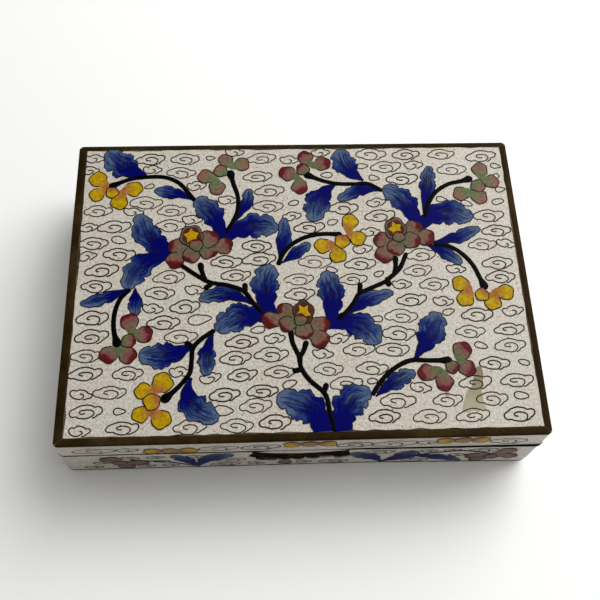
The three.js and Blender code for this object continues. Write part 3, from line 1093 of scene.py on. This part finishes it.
# Each blossom's enamel, its two calyxes, the petal between them and the four round ones.
SMALL_BLOSSOMS = (
    ("yellow", ((-54.4, 30.7), (-50.3, 29.5)), (-53, 28.9, 1.8),
     ((-57.2, 33.4, 2.5), (-57.3, 28.2, 2.1), (-46.8, 30, 2.4), (-50.8, 25.7, 2.4))),
    ("pink", ((-19.3, 37.2), (-23.3, 33.2)), (-22, 35.7, 2.0),
     ((-20.6, 39.4, 2.1), (-15.8, 38, 2.2), (-26.3, 33.9, 2.3), (-23, 30, 2.3))),
    ("red", ((-45.3, -14.7), (-48.5, -18.8)), (-46, -17, 1.9),
     ((-46, -11.5, 2.4), (-42, -15.2, 2.3), (-51, -20.7, 2.4), (-46, -21, 2.3))),
    ("yellow", ((14.2, 14.7), (9.9, 11.0)), (12.3, 11.9, 2.1),
     ((14.9, 18.3, 2.3), (16.8, 12.8, 2.3), (6.8, 10.6, 2.3), (10.9, 7.5, 2.3))),
    ("red", ((4.5, 37.2), (0.8, 33.3)), (2.1, 36, 1.9),
     ((3, 40.2, 2.2), (8, 38, 2.3), (-2.5, 34.7, 2.4), (1, 30, 2.3))),
    ("pink", ((54.6, 32.2), (50.9, 28.1)), (53.3, 29.6, 2.1),
     ((54.6, 35.3, 2.3), (57.5, 31, 2.2), (48, 27, 2.3), (53.3, 25.8, 2.3))),
    ("yellow", ((47.3, -4.2), (53.3, -4.9)), (50.1, -5.5, 1.9),
     ((44.5, -2, 2.3), (45.3, -6.6, 2.3), (52.8, -7.8, 2.3), (56.7, -4.8, 2.3))),
    ("red", ((41.2, -24.2), (36.8, -27)), (39.5, -26.3, 1.8),
     ((42.7, -21.7, 2.5), (43.5, -26.8, 2.2), (32.5, -27.7, 2.3), (37, -30.5, 2.3))),
    ("yellow", ((-38.5, -31.2), (-39.2, -36.3)), (-39.2, -33.9, 2.2),
     ((-36.7, -28.8, 2.7), (-41.5, -31, 2.2), (-42, -37.2, 2.1), (-36.7, -38.6, 2.5))),
)

enamels = {kind: petal_enamel(*plan) for kind, plan in PETAL_ENAMELS.items()}
petal_slots = {kind: "yellow_enamel" if kind in ("yellow", "amber") else "rose_enamel" for kind in enamels}
lid_petals = {kind: Cells() for kind in ("yellow", "red", "rose", "pink", "ring")}
lid_petal_wires = Lines()
for kind, calyxes, (*heart, heart_radius), petals in SMALL_BLOSSOMS:
    for order, (x, y, radius) in enumerate(petals):
        near = min(calyxes, key=lambda calyx: (Vector(calyx) - Vector((x, y))).length)
        draw_petal(lid_petals[kind], lid_petal_wires, TOP, near, (x, y), radius, order % 2)
    heart_from = (Vector(calyxes[0]) + Vector(calyxes[1])) / 2
    draw_petal(lid_petals[kind], lid_petal_wires, TOP, heart_from, heart, heart_radius, 2)

# ==== Large blossoms ====
# Three open flowers, each a yellow star in a ring of small dark red petals, with seven round
# petals crowded below it that darken towards their outer ends.

STAR_LEVEL = 0.25
STAR_RAISED = 0.015
STAR_POINTS = 5
RING_POINTS = 40
# Each flower's heart, its half width and half height, its star's reach, the point that its
# petals grow from, and the petals.
LARGE_BLOSSOMS = (
    ((-30, 14.2), (3.3, 3.5), 2.6, (-29.2, 11.2), (
        (-33.7, 11, 2.6), (-34.3, 6.7, 2.5), (-25.3, 9.5, 2.5), (-20.9, 11, 2.5), (-25, 13.2, 2.7),
        (-29.9, 8.2, 2.4), (-28.6, 11.3, 1.9))),
    ((27.8, 15.5), (3.1, 3.7), 2.6, (28.8, 12.2), (
        (23.8, 12, 2.5), (24, 7.5, 2.6), (27.5, 9.7, 2.5), (33, 15.5, 2.6), (36.2, 12.7, 2.6),
        (32, 11.8, 2.5), (28.5, 13.0, 1.7))),
    ((0.6, -9.7), (2.9, 3.6), 2.55, (-0.4, -12.2), (
        (-4.2, -9.6, 2.7), (-8.3, -11.7, 2.4), (-3.8, -13, 2.3), (5.2, -13.4, 2.4), (4.7, -17.6, 2.5),
        (0.6, -15, 2.4), (-0.3, -11.9, 1.7))),
)


def polar(angle, half_width, half_height):
    """A point at an angle on an ellipse about the origin."""
    return Vector((half_width * math.cos(angle), half_height * math.sin(angle)))


def draw_star(centre, half_width, half_height, star_radius, index):
    """The yellow star in its dark red ring, which is parted by wires from the star's points."""
    heart = Vector(centre)
    turn = 0.25 * index + 0.1
    line = []
    for angle in around(RING_POINTS):
        lobe = 0.88 + 0.14 * abs(math.sin(STAR_POINTS / 2 * (angle - QUARTER - turn)))
        line.append(heart + polar(angle, half_width, half_height) * lobe)
    lid_petals["ring"].disc(line, [(1.0, 0.5)] * RING_POINTS, heart, STAR_LEVEL, 0.3 + 0.2 * index, TOP, 0.0)
    lid_petal_wires.add(TOP, line, STAR_LEVEL, 1.1, closed=True)
    star = []
    for i in range(2 * STAR_POINTS):
        angle = QUARTER + math.pi * i / STAR_POINTS + turn
        reach = star_radius * (0.60 if i % 2 else 1.0 + 0.08 * math.sin(3 * i + index))
        star.append(heart + polar(angle, reach * half_width / half_height, reach))
        if i % 2 == 0:
            edge = heart + polar(angle, half_width, half_height) * 0.88
            lid_petal_wires.add(TOP, [star[-1], edge], STAR_LEVEL, 0.8)
    lid_petals["yellow"].disc(star, [(0.82, 0.5)] * len(star), heart, STAR_LEVEL + STAR_RAISED, 0.5, TOP)


for flower_index, (star_centre, half_sizes, star_radius, middle, petals) in enumerate(LARGE_BLOSSOMS):
    draw_star(star_centre, *half_sizes, star_radius, flower_index)
    for order, (x, y, radius) in enumerate(petals, 1):
        last = order == len(petals)
        calyx = (x + 0.3, y - 1.2) if last else middle
        draw_petal(lid_petals["rose"], lid_petal_wires, TOP, calyx, (x, y), radius, order - 1 + last)
for kind, cells in lid_petals.items():
    cells.piece(f"lid_top_{kind}_petals", enamels[kind], petal_slots[kind])
petal_wire = (dark_wire, "wire_brass", PETAL_WIRE, PETAL_WIRE_RISE)
lid_petal_wires.piece("lid_top_petal_wires", *petal_wire, bend=0.08, seed=5.0)

# ==== Clouds on the lid ====
# Small scrolled clouds of bare wire fill the white ground in uneven rows. The wires were bent
# by hand, so no two are alike. Narrower ones, loops and drops fill what is left.

CLOUD_WIRE = 0.42
CLOUD_RISE = 0.05
CLOUD_LEVEL = 0.012
CLOUD_SEED = 900
SMALL_CLOUD_SEED = 1700
LOOP_SEED = 2300
CURL_STEPS = 12
CURL_FROM = math.radians(285)
CURL_TO = math.radians(-72)
LOOP_POINTS = 14
# A cloud's cusps as shares of its half width and half height, and how far each bow swells.
CLOUD_CUSPS = (
    (0.28, -0.93, 0.13), (-0.52, -0.68, 0.82), (-0.60, 0.40, 0.17), (0.52, 0.50, 0.80), (0.66, -0.62, 0.10),
    (0.34, -1.05, 0.0),
)
SMALL_CUSPS = (
    (0.15, -0.85, 0.22), (-0.85, -0.25, 0.50), (-0.45, 0.65, 0.22), (0.65, 0.55, 0.70), (0.75, -0.6, 0.1),
    (0.3, -1.0, 0.0),
)
# Where the clouds and the small clouds stand, and where the loops do with their radii.
CLOUD_ROWS = (
    (-42.5, 40.3), (-32.5, 40.2), (-10, 40.2), (-33.5, 35.5), (-11.3, 33.8), (-7.8, 29), (-43.3, 25.5),
    (-56.7, 23), (-36, 22.7), (-8.3, 23.9), (-51.8, 17.8), (-36.2, 18), (-57.3, 12.6), (-11.8, 11),
    (-50, 9.1), (-20.5, 6.1), (-11, 6.9), (-54.5, 4.2), (-35.8, 1.7), (-17.7, 1.9), (-0.3, 0.5), (-0.4, -4),
    (22.3, 41.3), (33, 41), (43.5, 41), (55.6, 40.2), (26.5, 36.8), (46, 35.6), (31, 32.6), (13.3, 22.9),
    (23.5, 20.2), (3, 16.7), (55, 19.8), (56.8, 14.8), (52, 10.3), (34.5, 7.3), (4, 5.8), (17, 4.9),
    (55.8, 4.5), (33, 2.5), (14.5, 0.2), (56, 0.1), (37, -1.8), (30.2, -6.5), (27.3, -11.2), (47.9, -11.2),
    (26, -16.2), (45.3, -16.2), (56, -15.7), (14.8, -20.5), (24.3, -20.8), (55.8, -20.3), (6.5, -26),
    (18, -26), (50.6, -25.2), (11, -30), (45, -30.5), (56, -30.2), (24, -35), (37, -35.1), (49, -35),
    (20.5, -39.2), (32.3, -39.4), (43.4, -39.4), (55.5, -39.4), (-55.8, -0.6), (-38.3, -3), (-31.5, -7.3),
    (-56, -10), (-37, -11.8), (-56, -15.5), (-32.5, -16), (-16, -17.7), (-57, -20.8), (-18, -22.3),
    (-8.3, -21.5), (-56.8, -25.8), (-45.8, -25.9), (-16.3, -27), (-6.2, -26.4), (-50, -31), (-20.8, -32.3),
    (-11, -31.5), (-55.8, -36), (-12.8, -35.4), (-46.3, -40.5), (-17.5, -40.6), (-8, -39.9), (-29.6, -40.6),
)
SMALL_CLOUDS = (
    (-59, 40.6), (-18, 42.2), (-2, 39.4), (-60, 36.5), (-42, 36.5), (-29, 30.8), (-20, 25.9), (-46.8, 22.4),
    (-30.2, 19.6), (-59, 17.5), (-1.7, 20.3), (-59, 8.5), (7.3, 41.8), (34.8, 37.2), (22.9, 24.5),
    (20.5, 14.8), (58.7, 10.4), (17.8, 9.4), (43.7, 2.6), (28, -1.8), (39, -7.2), (57.8, -10.5),
    (9.5, -17.6), (5.2, -21.7), (30.3, -31.7), (-28.8, -2.5), (-40.2, -7.8), (-7.5, -17), (-32.5, -26),
    (-24.5, -27.8), (-57.5, -31.5), (-57.2, -41.2),
)
LOOPS = (
    (-25, 40.3, 1.0), (-42.5, 30.8, 1.1), (-1, 24.7, 1.2), (-50.2, 13.4, 1.6), (19.8, 37, 1.3),
    (59.5, 36.5, 1.2), (9, 34, 1.3), (23, 32.8, 1.2), (58.8, 32.8, 1.1), (59.8, 28.3, 1.2),
    (42.2, 25.2, 1.3), (49.3, 23.7, 1.3), (58.5, 24.2, 1.4), (10, 18.2, 1.2), (9, 3, 1.3), (22, 1.5, 1.1),
    (40.3, -10.4, 1.3), (20.3, -12, 1.3), (47.9, -20.4, 1.35), (58.8, -25.4, 1.2), (18, -29.7, 1.1),
    (56.8, -34.6, 1.5), (-27.3, -11.2, 2.0), (-11.8, -14.5, 1.5), (-3.7, -29.9, 1.5), (-47.2, -36.2, 1.2),
    (-20.8, -36.7, 1.9),
)


def set_down(point, turn, x, y):
    """A drawn point, turned and moved to its place."""
    return Matrix.Rotation(turn, 2) @ point + Vector((x, y))


def cloud_line(cusps, x, y, half_width, half_height, turn, dice):
    """A cloud's outline clockwise from its foot: bows between cusps that are a little out of place."""
    corners = []
    for across, up, bow in cusps:
        across += dice.uniform(-0.04, 0.04)
        up += dice.uniform(-0.07, 0.07)
        corner = set_down(Vector((across * half_width, up * half_height)), turn, x, y)
        corners.append((corner, bow * dice.uniform(0.85, 1.15)))
    line = []
    for (start, bow), (end, _) in zip(corners, corners[1:]):
        steps = max(3, round((end - start).length * (1 + 1.5 * bow) / 0.62))
        line += bowed(start, end, -bow, steps) if bow else [start]
    return line + [corners[-1][0]]


def curl_line(x, y, half_width, half_height, turn, inner):
    """The scroll inside a cloud, from its inner end round and down to the foot."""
    line = []
    for step in range(CURL_STEPS):
        t = 1 - step / CURL_STEPS
        angle = CURL_TO + (CURL_FROM * inner - CURL_TO) * t
        reach = 0.42 - 0.17 * t + 0.52 * math.exp(-t * 9)
        across = (-0.03 + reach * math.cos(angle)) * half_width
        up = (-0.10 + reach * math.sin(angle)) * half_height
        line.append(set_down(Vector((across, up)), turn, x, y))
    return line


def draw_cloud(lines, face, x, y, index, half_width=4.5, half_height=1.85):
    """One full cloud, a single wire from the inside of its scroll to the end of its outline."""
    dice = random.Random(CLOUD_SEED + index)
    turn = math.radians(dice.uniform(-4, 4))
    width = half_width * dice.uniform(0.94, 1.08)
    height = half_height * dice.uniform(0.9, 1.1)
    girth = dice.uniform(0.85, 1.15)
    line = curl_line(x, y, width, height, turn, dice.uniform(0.85, 1.05))
    line += cloud_line(CLOUD_CUSPS, x, y, width, height, turn, dice)
    lines.add(face, line, CLOUD_LEVEL, girth)


def draw_small_cloud(lines, face, x, y, index, half_width=2.85, half_height=1.2):
    """A small cloud: a rounder outline with a short hook in it."""
    dice = random.Random(SMALL_CLOUD_SEED + index)
    turn = math.radians(dice.uniform(-12, 12))
    hook = curl_line(x, y, half_width, half_height, turn, dice.uniform(0.2, 0.5))
    outline = cloud_line(SMALL_CUSPS, x, y, half_width, half_height, turn, dice)
    lines.add(face, hook[::2] + outline, CLOUD_LEVEL)


def draw_loop(lines, face, x, y, radius, index):
    """A small closed loop, bent to a lopsided drop."""
    dice = random.Random(LOOP_SEED + index)
    stretch = 1.3 if radius < 2 else 1.6
    turn = dice.uniform(-0.4, 0.4)
    lean = dice.choice((-1, 1)) * dice.uniform(0.2, 0.55)
    line = []
    for angle in around(LOOP_POINTS):
        point = Vector((radius * math.cos(angle) * stretch, radius * 0.68 * math.sin(angle)))
        point.y *= 1 - lean * math.cos(angle)
        line.append(set_down(point, turn, x, y))
    lines.add(face, line, CLOUD_LEVEL, 0.95, closed=True)


lid_clouds = Lines()
for draw, places in ((draw_cloud, CLOUD_ROWS), (draw_small_cloud, SMALL_CLOUDS), (draw_loop, LOOPS)):
    for i, place in enumerate(places):
        draw(lid_clouds, TOP, *place, i)
lid_clouds.piece("lid_top_cloud_wires", wire_metal, "wire_brass", CLOUD_WIRE, CLOUD_RISE, bend=0.55, seed=1.0)

# ==== Picture on the lid's sides ====
# Low yellow blossoms of three lobes, the middle one amber, stand between clouds. Each was
# wired and filled like the top, with its calyx on the border or at the seam.

LOBE_RADIUS = 2.35
LOBE_PITCH = 4.6
SIDE_HALF = {"front": 63.5, "back": 63.5, "left": 45.0, "right": 45.0}
# Each blossom's side, its middle and whether its lobes hang from the border (-1) or stand (1).
LID_SIDE_BLOSSOMS = (
    ("front", -34.8, -6.9, -1), ("front", 1.2, -3.5, 1), ("front", 41.0, -3.5, 1),
    ("right", -19.0, -6.9, -1), ("right", 18.0, -3.5, 1),
    ("back", -39.0, -3.5, 1), ("back", 0.0, -6.9, -1), ("back", 37.0, -3.5, 1),
    ("left", -21.0, -3.5, 1), ("left", 20.0, -6.9, -1),
)
SIDE_CLOUD = (4.7, 2.9)
SIDE_WIRE = 0.55
SIDE_CLOUD_PITCH = 10.6


def ellipse(centre, half_width, half_height, count):
    """Points round an ellipse."""
    return [Vector(centre) + polar(angle, half_width, half_height) for angle in around(count)]


def free_clouds(lines, side, half, rows, size, taken, index):
    """Fills what the picture leaves free with rows of clouds, small ones where a full one is too wide."""
    full = (draw_cloud, *size, SIDE_CLOUD_PITCH)
    small = (draw_small_cloud, size[0] * 0.5, size[1] * 0.6, SIDE_CLOUD_PITCH * 0.6)
    for row, y in enumerate(rows):
        x = -half + 4.4 + 2.3 * (row % 2)
        while x < half - 3.2:
            index += 1
            for draw, width, height, pitch in (full, small):
                middle = x + width
                if middle + width <= half - 1.0 and not any(
                    ((point.x - middle) / (width + 0.5)) ** 2 + ((point.y - y) / (height + 0.5)) ** 2 < 1
                    for point in taken
                ):
                    draw(lines, SIDES[side], middle, y, index, width, height)
                    x += pitch
                    break
            else:
                x += 1.0


lid_side_cells = {kind: Cells() for kind in ("yellow", "amber")}
lid_side_petal_wires, lid_side_clouds = Lines(), Lines()
side_taken = {side: [] for side in SIDES}
for side, x, height, way in LID_SIDE_BLOSSOMS:
    for lobe in (-1, 0, 1):
        kind = "yellow" if lobe else "amber"
        centre = (x + lobe * LOBE_PITCH, height - 0.15 * way * abs(lobe))
        calyx = (x + lobe * 3.1, height + way * 0.8)
        level = 1 + abs(lobe)
        draw_petal(lid_side_cells[kind], lid_side_petal_wires, SIDES[side], calyx, centre, LOBE_RADIUS, level)
        side_taken[side] += ellipse(centre, LOBE_RADIUS, LOBE_RADIUS, 8) + [Vector(centre)]
for order, (side, taken) in enumerate(side_taken.items()):
    free_clouds(lid_side_clouds, side, SIDE_HALF[side], (-5.3,), SIDE_CLOUD, taken, 300 + 50 * order)
for kind, cells in lid_side_cells.items():
    cells.piece(f"lid_side_{kind}_petals", enamels[kind], petal_slots[kind])
lid_side_petal_wires.piece("lid_side_petal_wires", *petal_wire)
side_wire = (wire_metal, "wire_brass", SIDE_WIRE, CLOUD_RISE)
lid_side_clouds.piece("lid_side_cloud_wires", *side_wire, bend=0.4, seed=7.0)

# ==== Picture on the tray's sides ====
# Sprays of blue leaves with dull mauve blossoms on thin stems run round the tray's sides, and
# clouds fill the ground between them. The front's are broken off where the enamel is lost.

# Each spray's leaves, its stem, its petals and the calyx that they sit on.
SPRAYS = {
    "left": (
        (
            (((-29, -24.8), (-31.5, -18), (-35, -12.2)), 1.9, 2.1),
            (((-29, -24.8), (-25.5, -16.5), (-19, -12.7)), 2.6, 2.8),
        ),
        ((-45.5, -16.3), (-41, -17.6), (-36, -19.5), (-30, -24)),
        ((-51, -14.7, 2.7), (-44, -19, 2.4), (-47.5, -22.4, 2.2), (-49, -18.5, 2.0)),
        (-48.3, -18.0),
    ),
    "right": (
        (
            (((22, -24.8), (18.2, -19), (12.6, -15)), 2.5, 2.7),
            (((21.5, -24.8), (27, -19), (29.5, -13.3)), 2.8, 3.0),
            (((28, -18), (36, -19.5), (44, -24.2)), 2.0, 2.1),
        ),
        ((53, -19.5), (50, -17), (43, -14.3), (35, -16), (29, -19)),
        ((47, -19.5, 2.4), (48.5, -22.6, 2.2), (55.5, -15, 2.4), (57, -20.0, 2.1), (52, -20.3, 1.9)),
        (51.6, -19.3),
    ),
}
# The side that a spray is on, which spray it is, how far it is moved, and -1 for a mirrored one.
TRAY_SPRAYS = (
    ("front", "left", 0, 1), ("front", "right", 0, 1), ("back", "left", 2, 1), ("back", "right", -4, 1),
    ("right", "left", 14, 1), ("right", "left", 15, -1), ("left", "right", -21, 1), ("left", "left", 11, 1),
)
LONE_PETAL = ((-5, -20.2), (-5, -22.7), 1.9)
BACK_LEAVES = (
    (((2, -24.8), (-3.5, -19.5), (-9, -14)), 2.4, 2.6),
    (((2, -24.8), (5.5, -18), (9, -12.5)), 2.4, 2.2),
)
TRAY_CLOUD_ROWS = (-13.9, -18.4, -22.8)
TRAY_CLOUD = (4.3, 1.9)
CHIP_MIDDLE = Vector((0, -13))

tray_leaves, tray_petals = Cells(), Cells()
tray_leaf_wires, tray_petal_wires, tray_stems, tray_clouds = Lines(), Lines(), Lines(), Lines()
tray_taken = {side: [] for side in SIDES}
for share in (0, 0.4, 0.8):
    tray_taken["front"] += [point.lerp(CHIP_MIDDLE, share) for point in chip_outline]


def tray_leaf(side, rib, left, right, index):
    """One leaf on a side of the tray, and the room it takes up."""
    draw_leaf(tray_leaves, tray_leaf_wires, SIDES[side], rib, left, right, index)
    for t in (0.1, 0.35, 0.6, 0.85):
        tray_taken[side] += ellipse(rib_point(rib, t), 1.8, 1.6, 6)


def draw_spray(side, spray, shift, mirror, first):
    """One spray on a side of the tray, and the room it takes up."""
    def placed(point):
        """A point of the spray's drawing where the spray stands on its side."""
        return (mirror * (point[0] + shift), point[1])

    leaves, stem, petals, calyx = SPRAYS[spray]
    for order, (rib, left, right) in enumerate(leaves):
        tray_leaf(side, [placed(point) for point in rib], left, right, first + order)
    line = [placed(point) for point in stem]
    draw_stem(tray_stems, SIDES[side], line, 1.6, 0.62)
    tray_taken[side] += [Vector(point) for point in line]
    for order, (*centre, radius) in enumerate(petals):
        centre = placed(centre)
        draw_petal(tray_petals, tray_petal_wires, SIDES[side], placed(calyx), centre, radius, order)
        tray_taken[side] += ellipse(centre, radius, radius, 8) + [Vector(centre)]


for number, plan in enumerate(TRAY_SPRAYS):
    draw_spray(*plan, 40 + 4 * number)
draw_petal(tray_petals, tray_petal_wires, SIDES["front"], *LONE_PETAL, 0)
tray_taken["front"] += ellipse(LONE_PETAL[1], 2, 2, 8)
for order, plan in enumerate(BACK_LEAVES):
    tray_leaf("back", *plan, 90 + order)
for order, (side, taken) in enumerate(tray_taken.items()):
    free_clouds(tray_clouds, side, SIDE_HALF[side] - 1, TRAY_CLOUD_ROWS, TRAY_CLOUD, taken, 600 + 90 * order)
tray_leaves.piece("tray_side_leaves", cobalt, "blue_enamel")
tray_leaf_wires.piece("tray_side_leaf_wires", *leaf_wire, bend=0.1, seed=9.0)
tray_stems.piece("tray_side_stems", black, "black_enamel", STEM_WIDTH, STEM_RISE, STEM_SIDES)
tray_petals.piece("tray_side_petals", enamels["mauve"], "rose_enamel")
tray_petal_wires.piece("tray_side_petal_wires", *petal_wire)
tray_clouds.piece("tray_side_cloud_wires", *side_wire, bend=0.4, seed=11.0)

# ==== Dark lines at the seam and the foot ====
# A thin dark line runs along the lid's lower edge, the tray's rim and its foot. At the seam it is
# the metal's bare edge and painted shadow of the gap, which widens to the right; at the foot it is
# a plain dark line. In the middle of the front the enamel has run over the seam.

RIM_LINE = 0.28
RIM_LINE_RISE = 0.11
SEAM_RUN_OVER = 11.5
FOOT_LINE = 2.0 * MM
UPRIGHT = Matrix.Scale(MM, 4)
rims = Lines()
for inset, corner, z, fall in (
    (0.02 * MM, LID_CORNER, SEAM + 0.12 * MM, 0.0), (0.02 * MM, RIM_CORNER, SEAM - 0.16 * MM, 1.0),
    (0.10 * MM, TRAY_CORNER, FOOT_LINE, 0.0),
):
    line = [point / MM for point in ring(inset, z, corner, fall)]
    girths = []
    for point in line:
        girth = 1 + 0.5 * noise.noise(point * 0.35)
        if z > FOOT_LINE:
            # On the seam the lines widen to the right, as painted shadow of the gap there.
            girth *= 1 + 0.7 * max(point.x * MM / HALF_LENGTH, 0)
            if point.y < 0 and abs(point.x) < SEAM_RUN_OVER:
                girth *= 0.2
        girths.append(girth)
    rims.add(UPRIGHT, line, None, girths, closed=True)
rims.piece("seam_rims_and_gap_shadow", copper, "bare_copper", RIM_LINE, RIM_LINE_RISE, sides=6)

# ==== Grime and wear on the lid ====
# Dirt sits in pinholes of the enamel and along the inner edge of the border, and a dull tan
# patch with a small drip by it is left towards the front right corner.

SPECK_DENSITY = 95000
SPECK_LEAST = 0.06 * MM
SPECK_MOST = 0.22 * MM
GRIME_WIDTH = 0.42
GRIME_RISE = 0.03
PATCH_LEVEL = 0.022
PATCH_MIDDLE = (45.2, -34)
PATCH = (
    (46.0, -26.2), (47.1, -26.4), (47.5, -28), (47.2, -30.2), (46.5, -32.6), (46.6, -35.5), (47.0, -38.3),
    (45.8, -38.0), (44.6, -38.8), (43.6, -38.1), (42.3, -38.9), (40.8, -38.3), (41.4, -36), (42.5, -33.2),
    (44.0, -31.7), (44.5, -30), (45.5, -28),
)
DRIP_MIDDLE = (37.3, -33.6)
DRIP = ((37.3, -32.7), (37.9, -33.3), (37.7, -34.3), (37.2, -34.6), (36.8, -33.9), (36.9, -33.1))


def speck_tree():
    """The node tree that strews flat specks over a face."""
    tree, given = new_group("strewn_specks", Density="Float", Least="Float", Most="Float", Seed="Int")
    points = add_node(
        tree, "GeometryNodeDistributePointsOnFaces", Mesh=given["Geometry"], Density=given["Density"],
        Seed=given["Seed"],
    )
    speck = add_node(tree, "GeometryNodeMeshUVSphere", Segments=7, Rings=4, Radius=1.0)
    flat = add_node(tree, "GeometryNodeTransform", Geometry=speck.outputs[0], Scale=(1.0, 0.7, 0.16))
    pick = add_node(tree, "FunctionNodeRandomValue", {"data_type": "FLOAT"}, Seed=given["Seed"]).outputs[1]
    share = combined(pick, 2.4, "POWER")
    size = add_node(tree, "ShaderNodeMapRange", Value=share, To_Min=given["Least"], To_Max=given["Most"])
    spin = add_node(tree, "ShaderNodeCombineXYZ", Z=combined(pick, 47.0))
    strewn = add_node(
        tree, "GeometryNodeInstanceOnPoints", Points=points.outputs["Points"], Instance=flat.outputs[0],
        Rotation=spin.outputs[0], Scale=size.outputs["Result"],
    )
    return end_group(tree, strewn.outputs[0], given["Material"])


grime = mottled(
    "dark_grime", (0.8, 0.0, 0.1), (300.0, 4.0), (0.35, (0.010, 0.007, 0.004)), (0.65, (0.10, 0.075, 0.045))
)
panel_corners = panel_ring(0.5 * MM, LID_TOP)[::12]
panel = bpy.data.meshes.new("panel")
panel.from_pydata(panel_corners, [], [tuple(range(len(panel_corners)))])
specks = grown(
    panel, speck_tree(), Density=SPECK_DENSITY, Least=SPECK_LEAST, Most=SPECK_MOST, Seed=5, Material=grime
)
shown_piece("lid_top_pinhole_dirt", specks, grime)

edge_grime = Lines()
edge_line = [point / MM for point in panel_ring(0.06 * MM, LID_TOP + 0.005 * MM)]
edge_girths = [max(0.25, 0.8 + 2.6 * noise.noise(point * 0.6)) for point in edge_line]
edge_grime.add(UPRIGHT, edge_line, None, edge_girths, closed=True)
edge_grime.piece("lid_top_edge_grime", grime, "bare_copper", GRIME_WIDTH, GRIME_RISE, 4, bend=0.1, seed=13.0)

patch, patch_tree, patch_shader = new_material("dull_tan_patch", 0.75, gloss=0.15)
patch_place = add_node(patch_tree, "ShaderNodeTexCoord").outputs["Object"]
patch_y = add_node(patch_tree, "ShaderNodeSeparateXYZ", Vector=patch_place).outputs["Y"]
patch_grain = grain(patch_tree, 420.0, 4.0, 0.65)
patch_value = total(mask(patch_y, -27 * MM, -38 * MM), combined(patch_grain, 0.5, "SUBTRACT"))
patch_stops = ((0.1, (0.205, 0.162, 0.1)), (0.6, (0.28, 0.24, 0.16)), (1.0, (0.35, 0.315, 0.22)))
coloured(patch_shader, ramp(patch_value, *patch_stops), patch_grain, 0.08 * MM, 0.7)
patch_cells = Cells()
for outline_points, middle_point in ((PATCH, PATCH_MIDDLE), (DRIP, DRIP_MIDDLE)):
    edge = smooth_line(outline_points + outline_points[:1], 3)[:-1]
    patch_cells.disc(edge, [(0.5, 0.5)] * len(edge), Vector(middle_point), PATCH_LEVEL, 0.5, TOP)
patch_cells.piece("lid_top_tan_patch", patch, "white_enamel")

# ==== Floor, lights and surroundings ====
# A pale floor under the box, one large soft light above and behind it to the right, and a
# weak even light from all round.

HALF_FLOOR = 7.0
FLOOR_COLOUR = (0.88, 0.88, 0.87, 1)
SKY_BRIGHT_SIDE = (0.35, 0.55, 0.75)
SKY_LOW = (0.22, 0.22, 0.22)
SKY_HIGH = (0.42, 0.42, 0.41)
# Each light's place, the point it faces, its size in metres and its power in watts.
LIGHTS = {
    "key": ((0.52, 0.44, 0.70), (0, 0, 0.02), 0.9, 12.3),
    "side": ((0.34, -0.20, 0.10), (0.05, -0.04, 0.02), 0.16, 0.20),
}

floor_mesh = bpy.data.meshes.new("floor")
floor_corners = [(x * HALF_FLOOR, y * HALF_FLOOR, 0) for x, y in ((-1, -1), (1, -1), (1, 1), (-1, 1))]
floor_mesh.from_pydata(floor_corners, [], [(0, 1, 2, 3)])
floor_paint, _, floor_shader = new_material("pale_floor", 0.9)
floor_shader.inputs["Base Color"].default_value = FLOOR_COLOUR
floor_mesh.materials.append(floor_paint)
in_scene("floor", floor_mesh)

for name, (place, target, size, power) in LIGHTS.items():
    light = bpy.data.lights.new(name, "AREA")
    light.shape = "SQUARE"
    light.size = size
    light.energy = power
    in_scene(name, light).matrix_world = facing(Vector(place), Vector(target) - Vector(place))

world = bpy.data.worlds.new("surroundings")
world.use_nodes = True
world_tree = world.node_tree
sky_place = add_node(world_tree, "ShaderNodeTexCoord").outputs["Generated"]
toward = add_node(
    world_tree, "ShaderNodeVectorMath", {"operation": "DOT_PRODUCT"}, i0=sky_place, i1=SKY_BRIGHT_SIDE
)
sky_colour = ramp(mask(toward.outputs["Value"], -0.6, 0.9), (0.0, SKY_LOW), (1.0, SKY_HIGH))
background = world_tree.nodes["Background"]
background.inputs["Strength"].default_value = 1.0
world_tree.links.new(sky_colour, background.inputs["Color"])
bpy.context.scene.world = world
bpy.context.scene.view_settings.view_transform = "Standard"
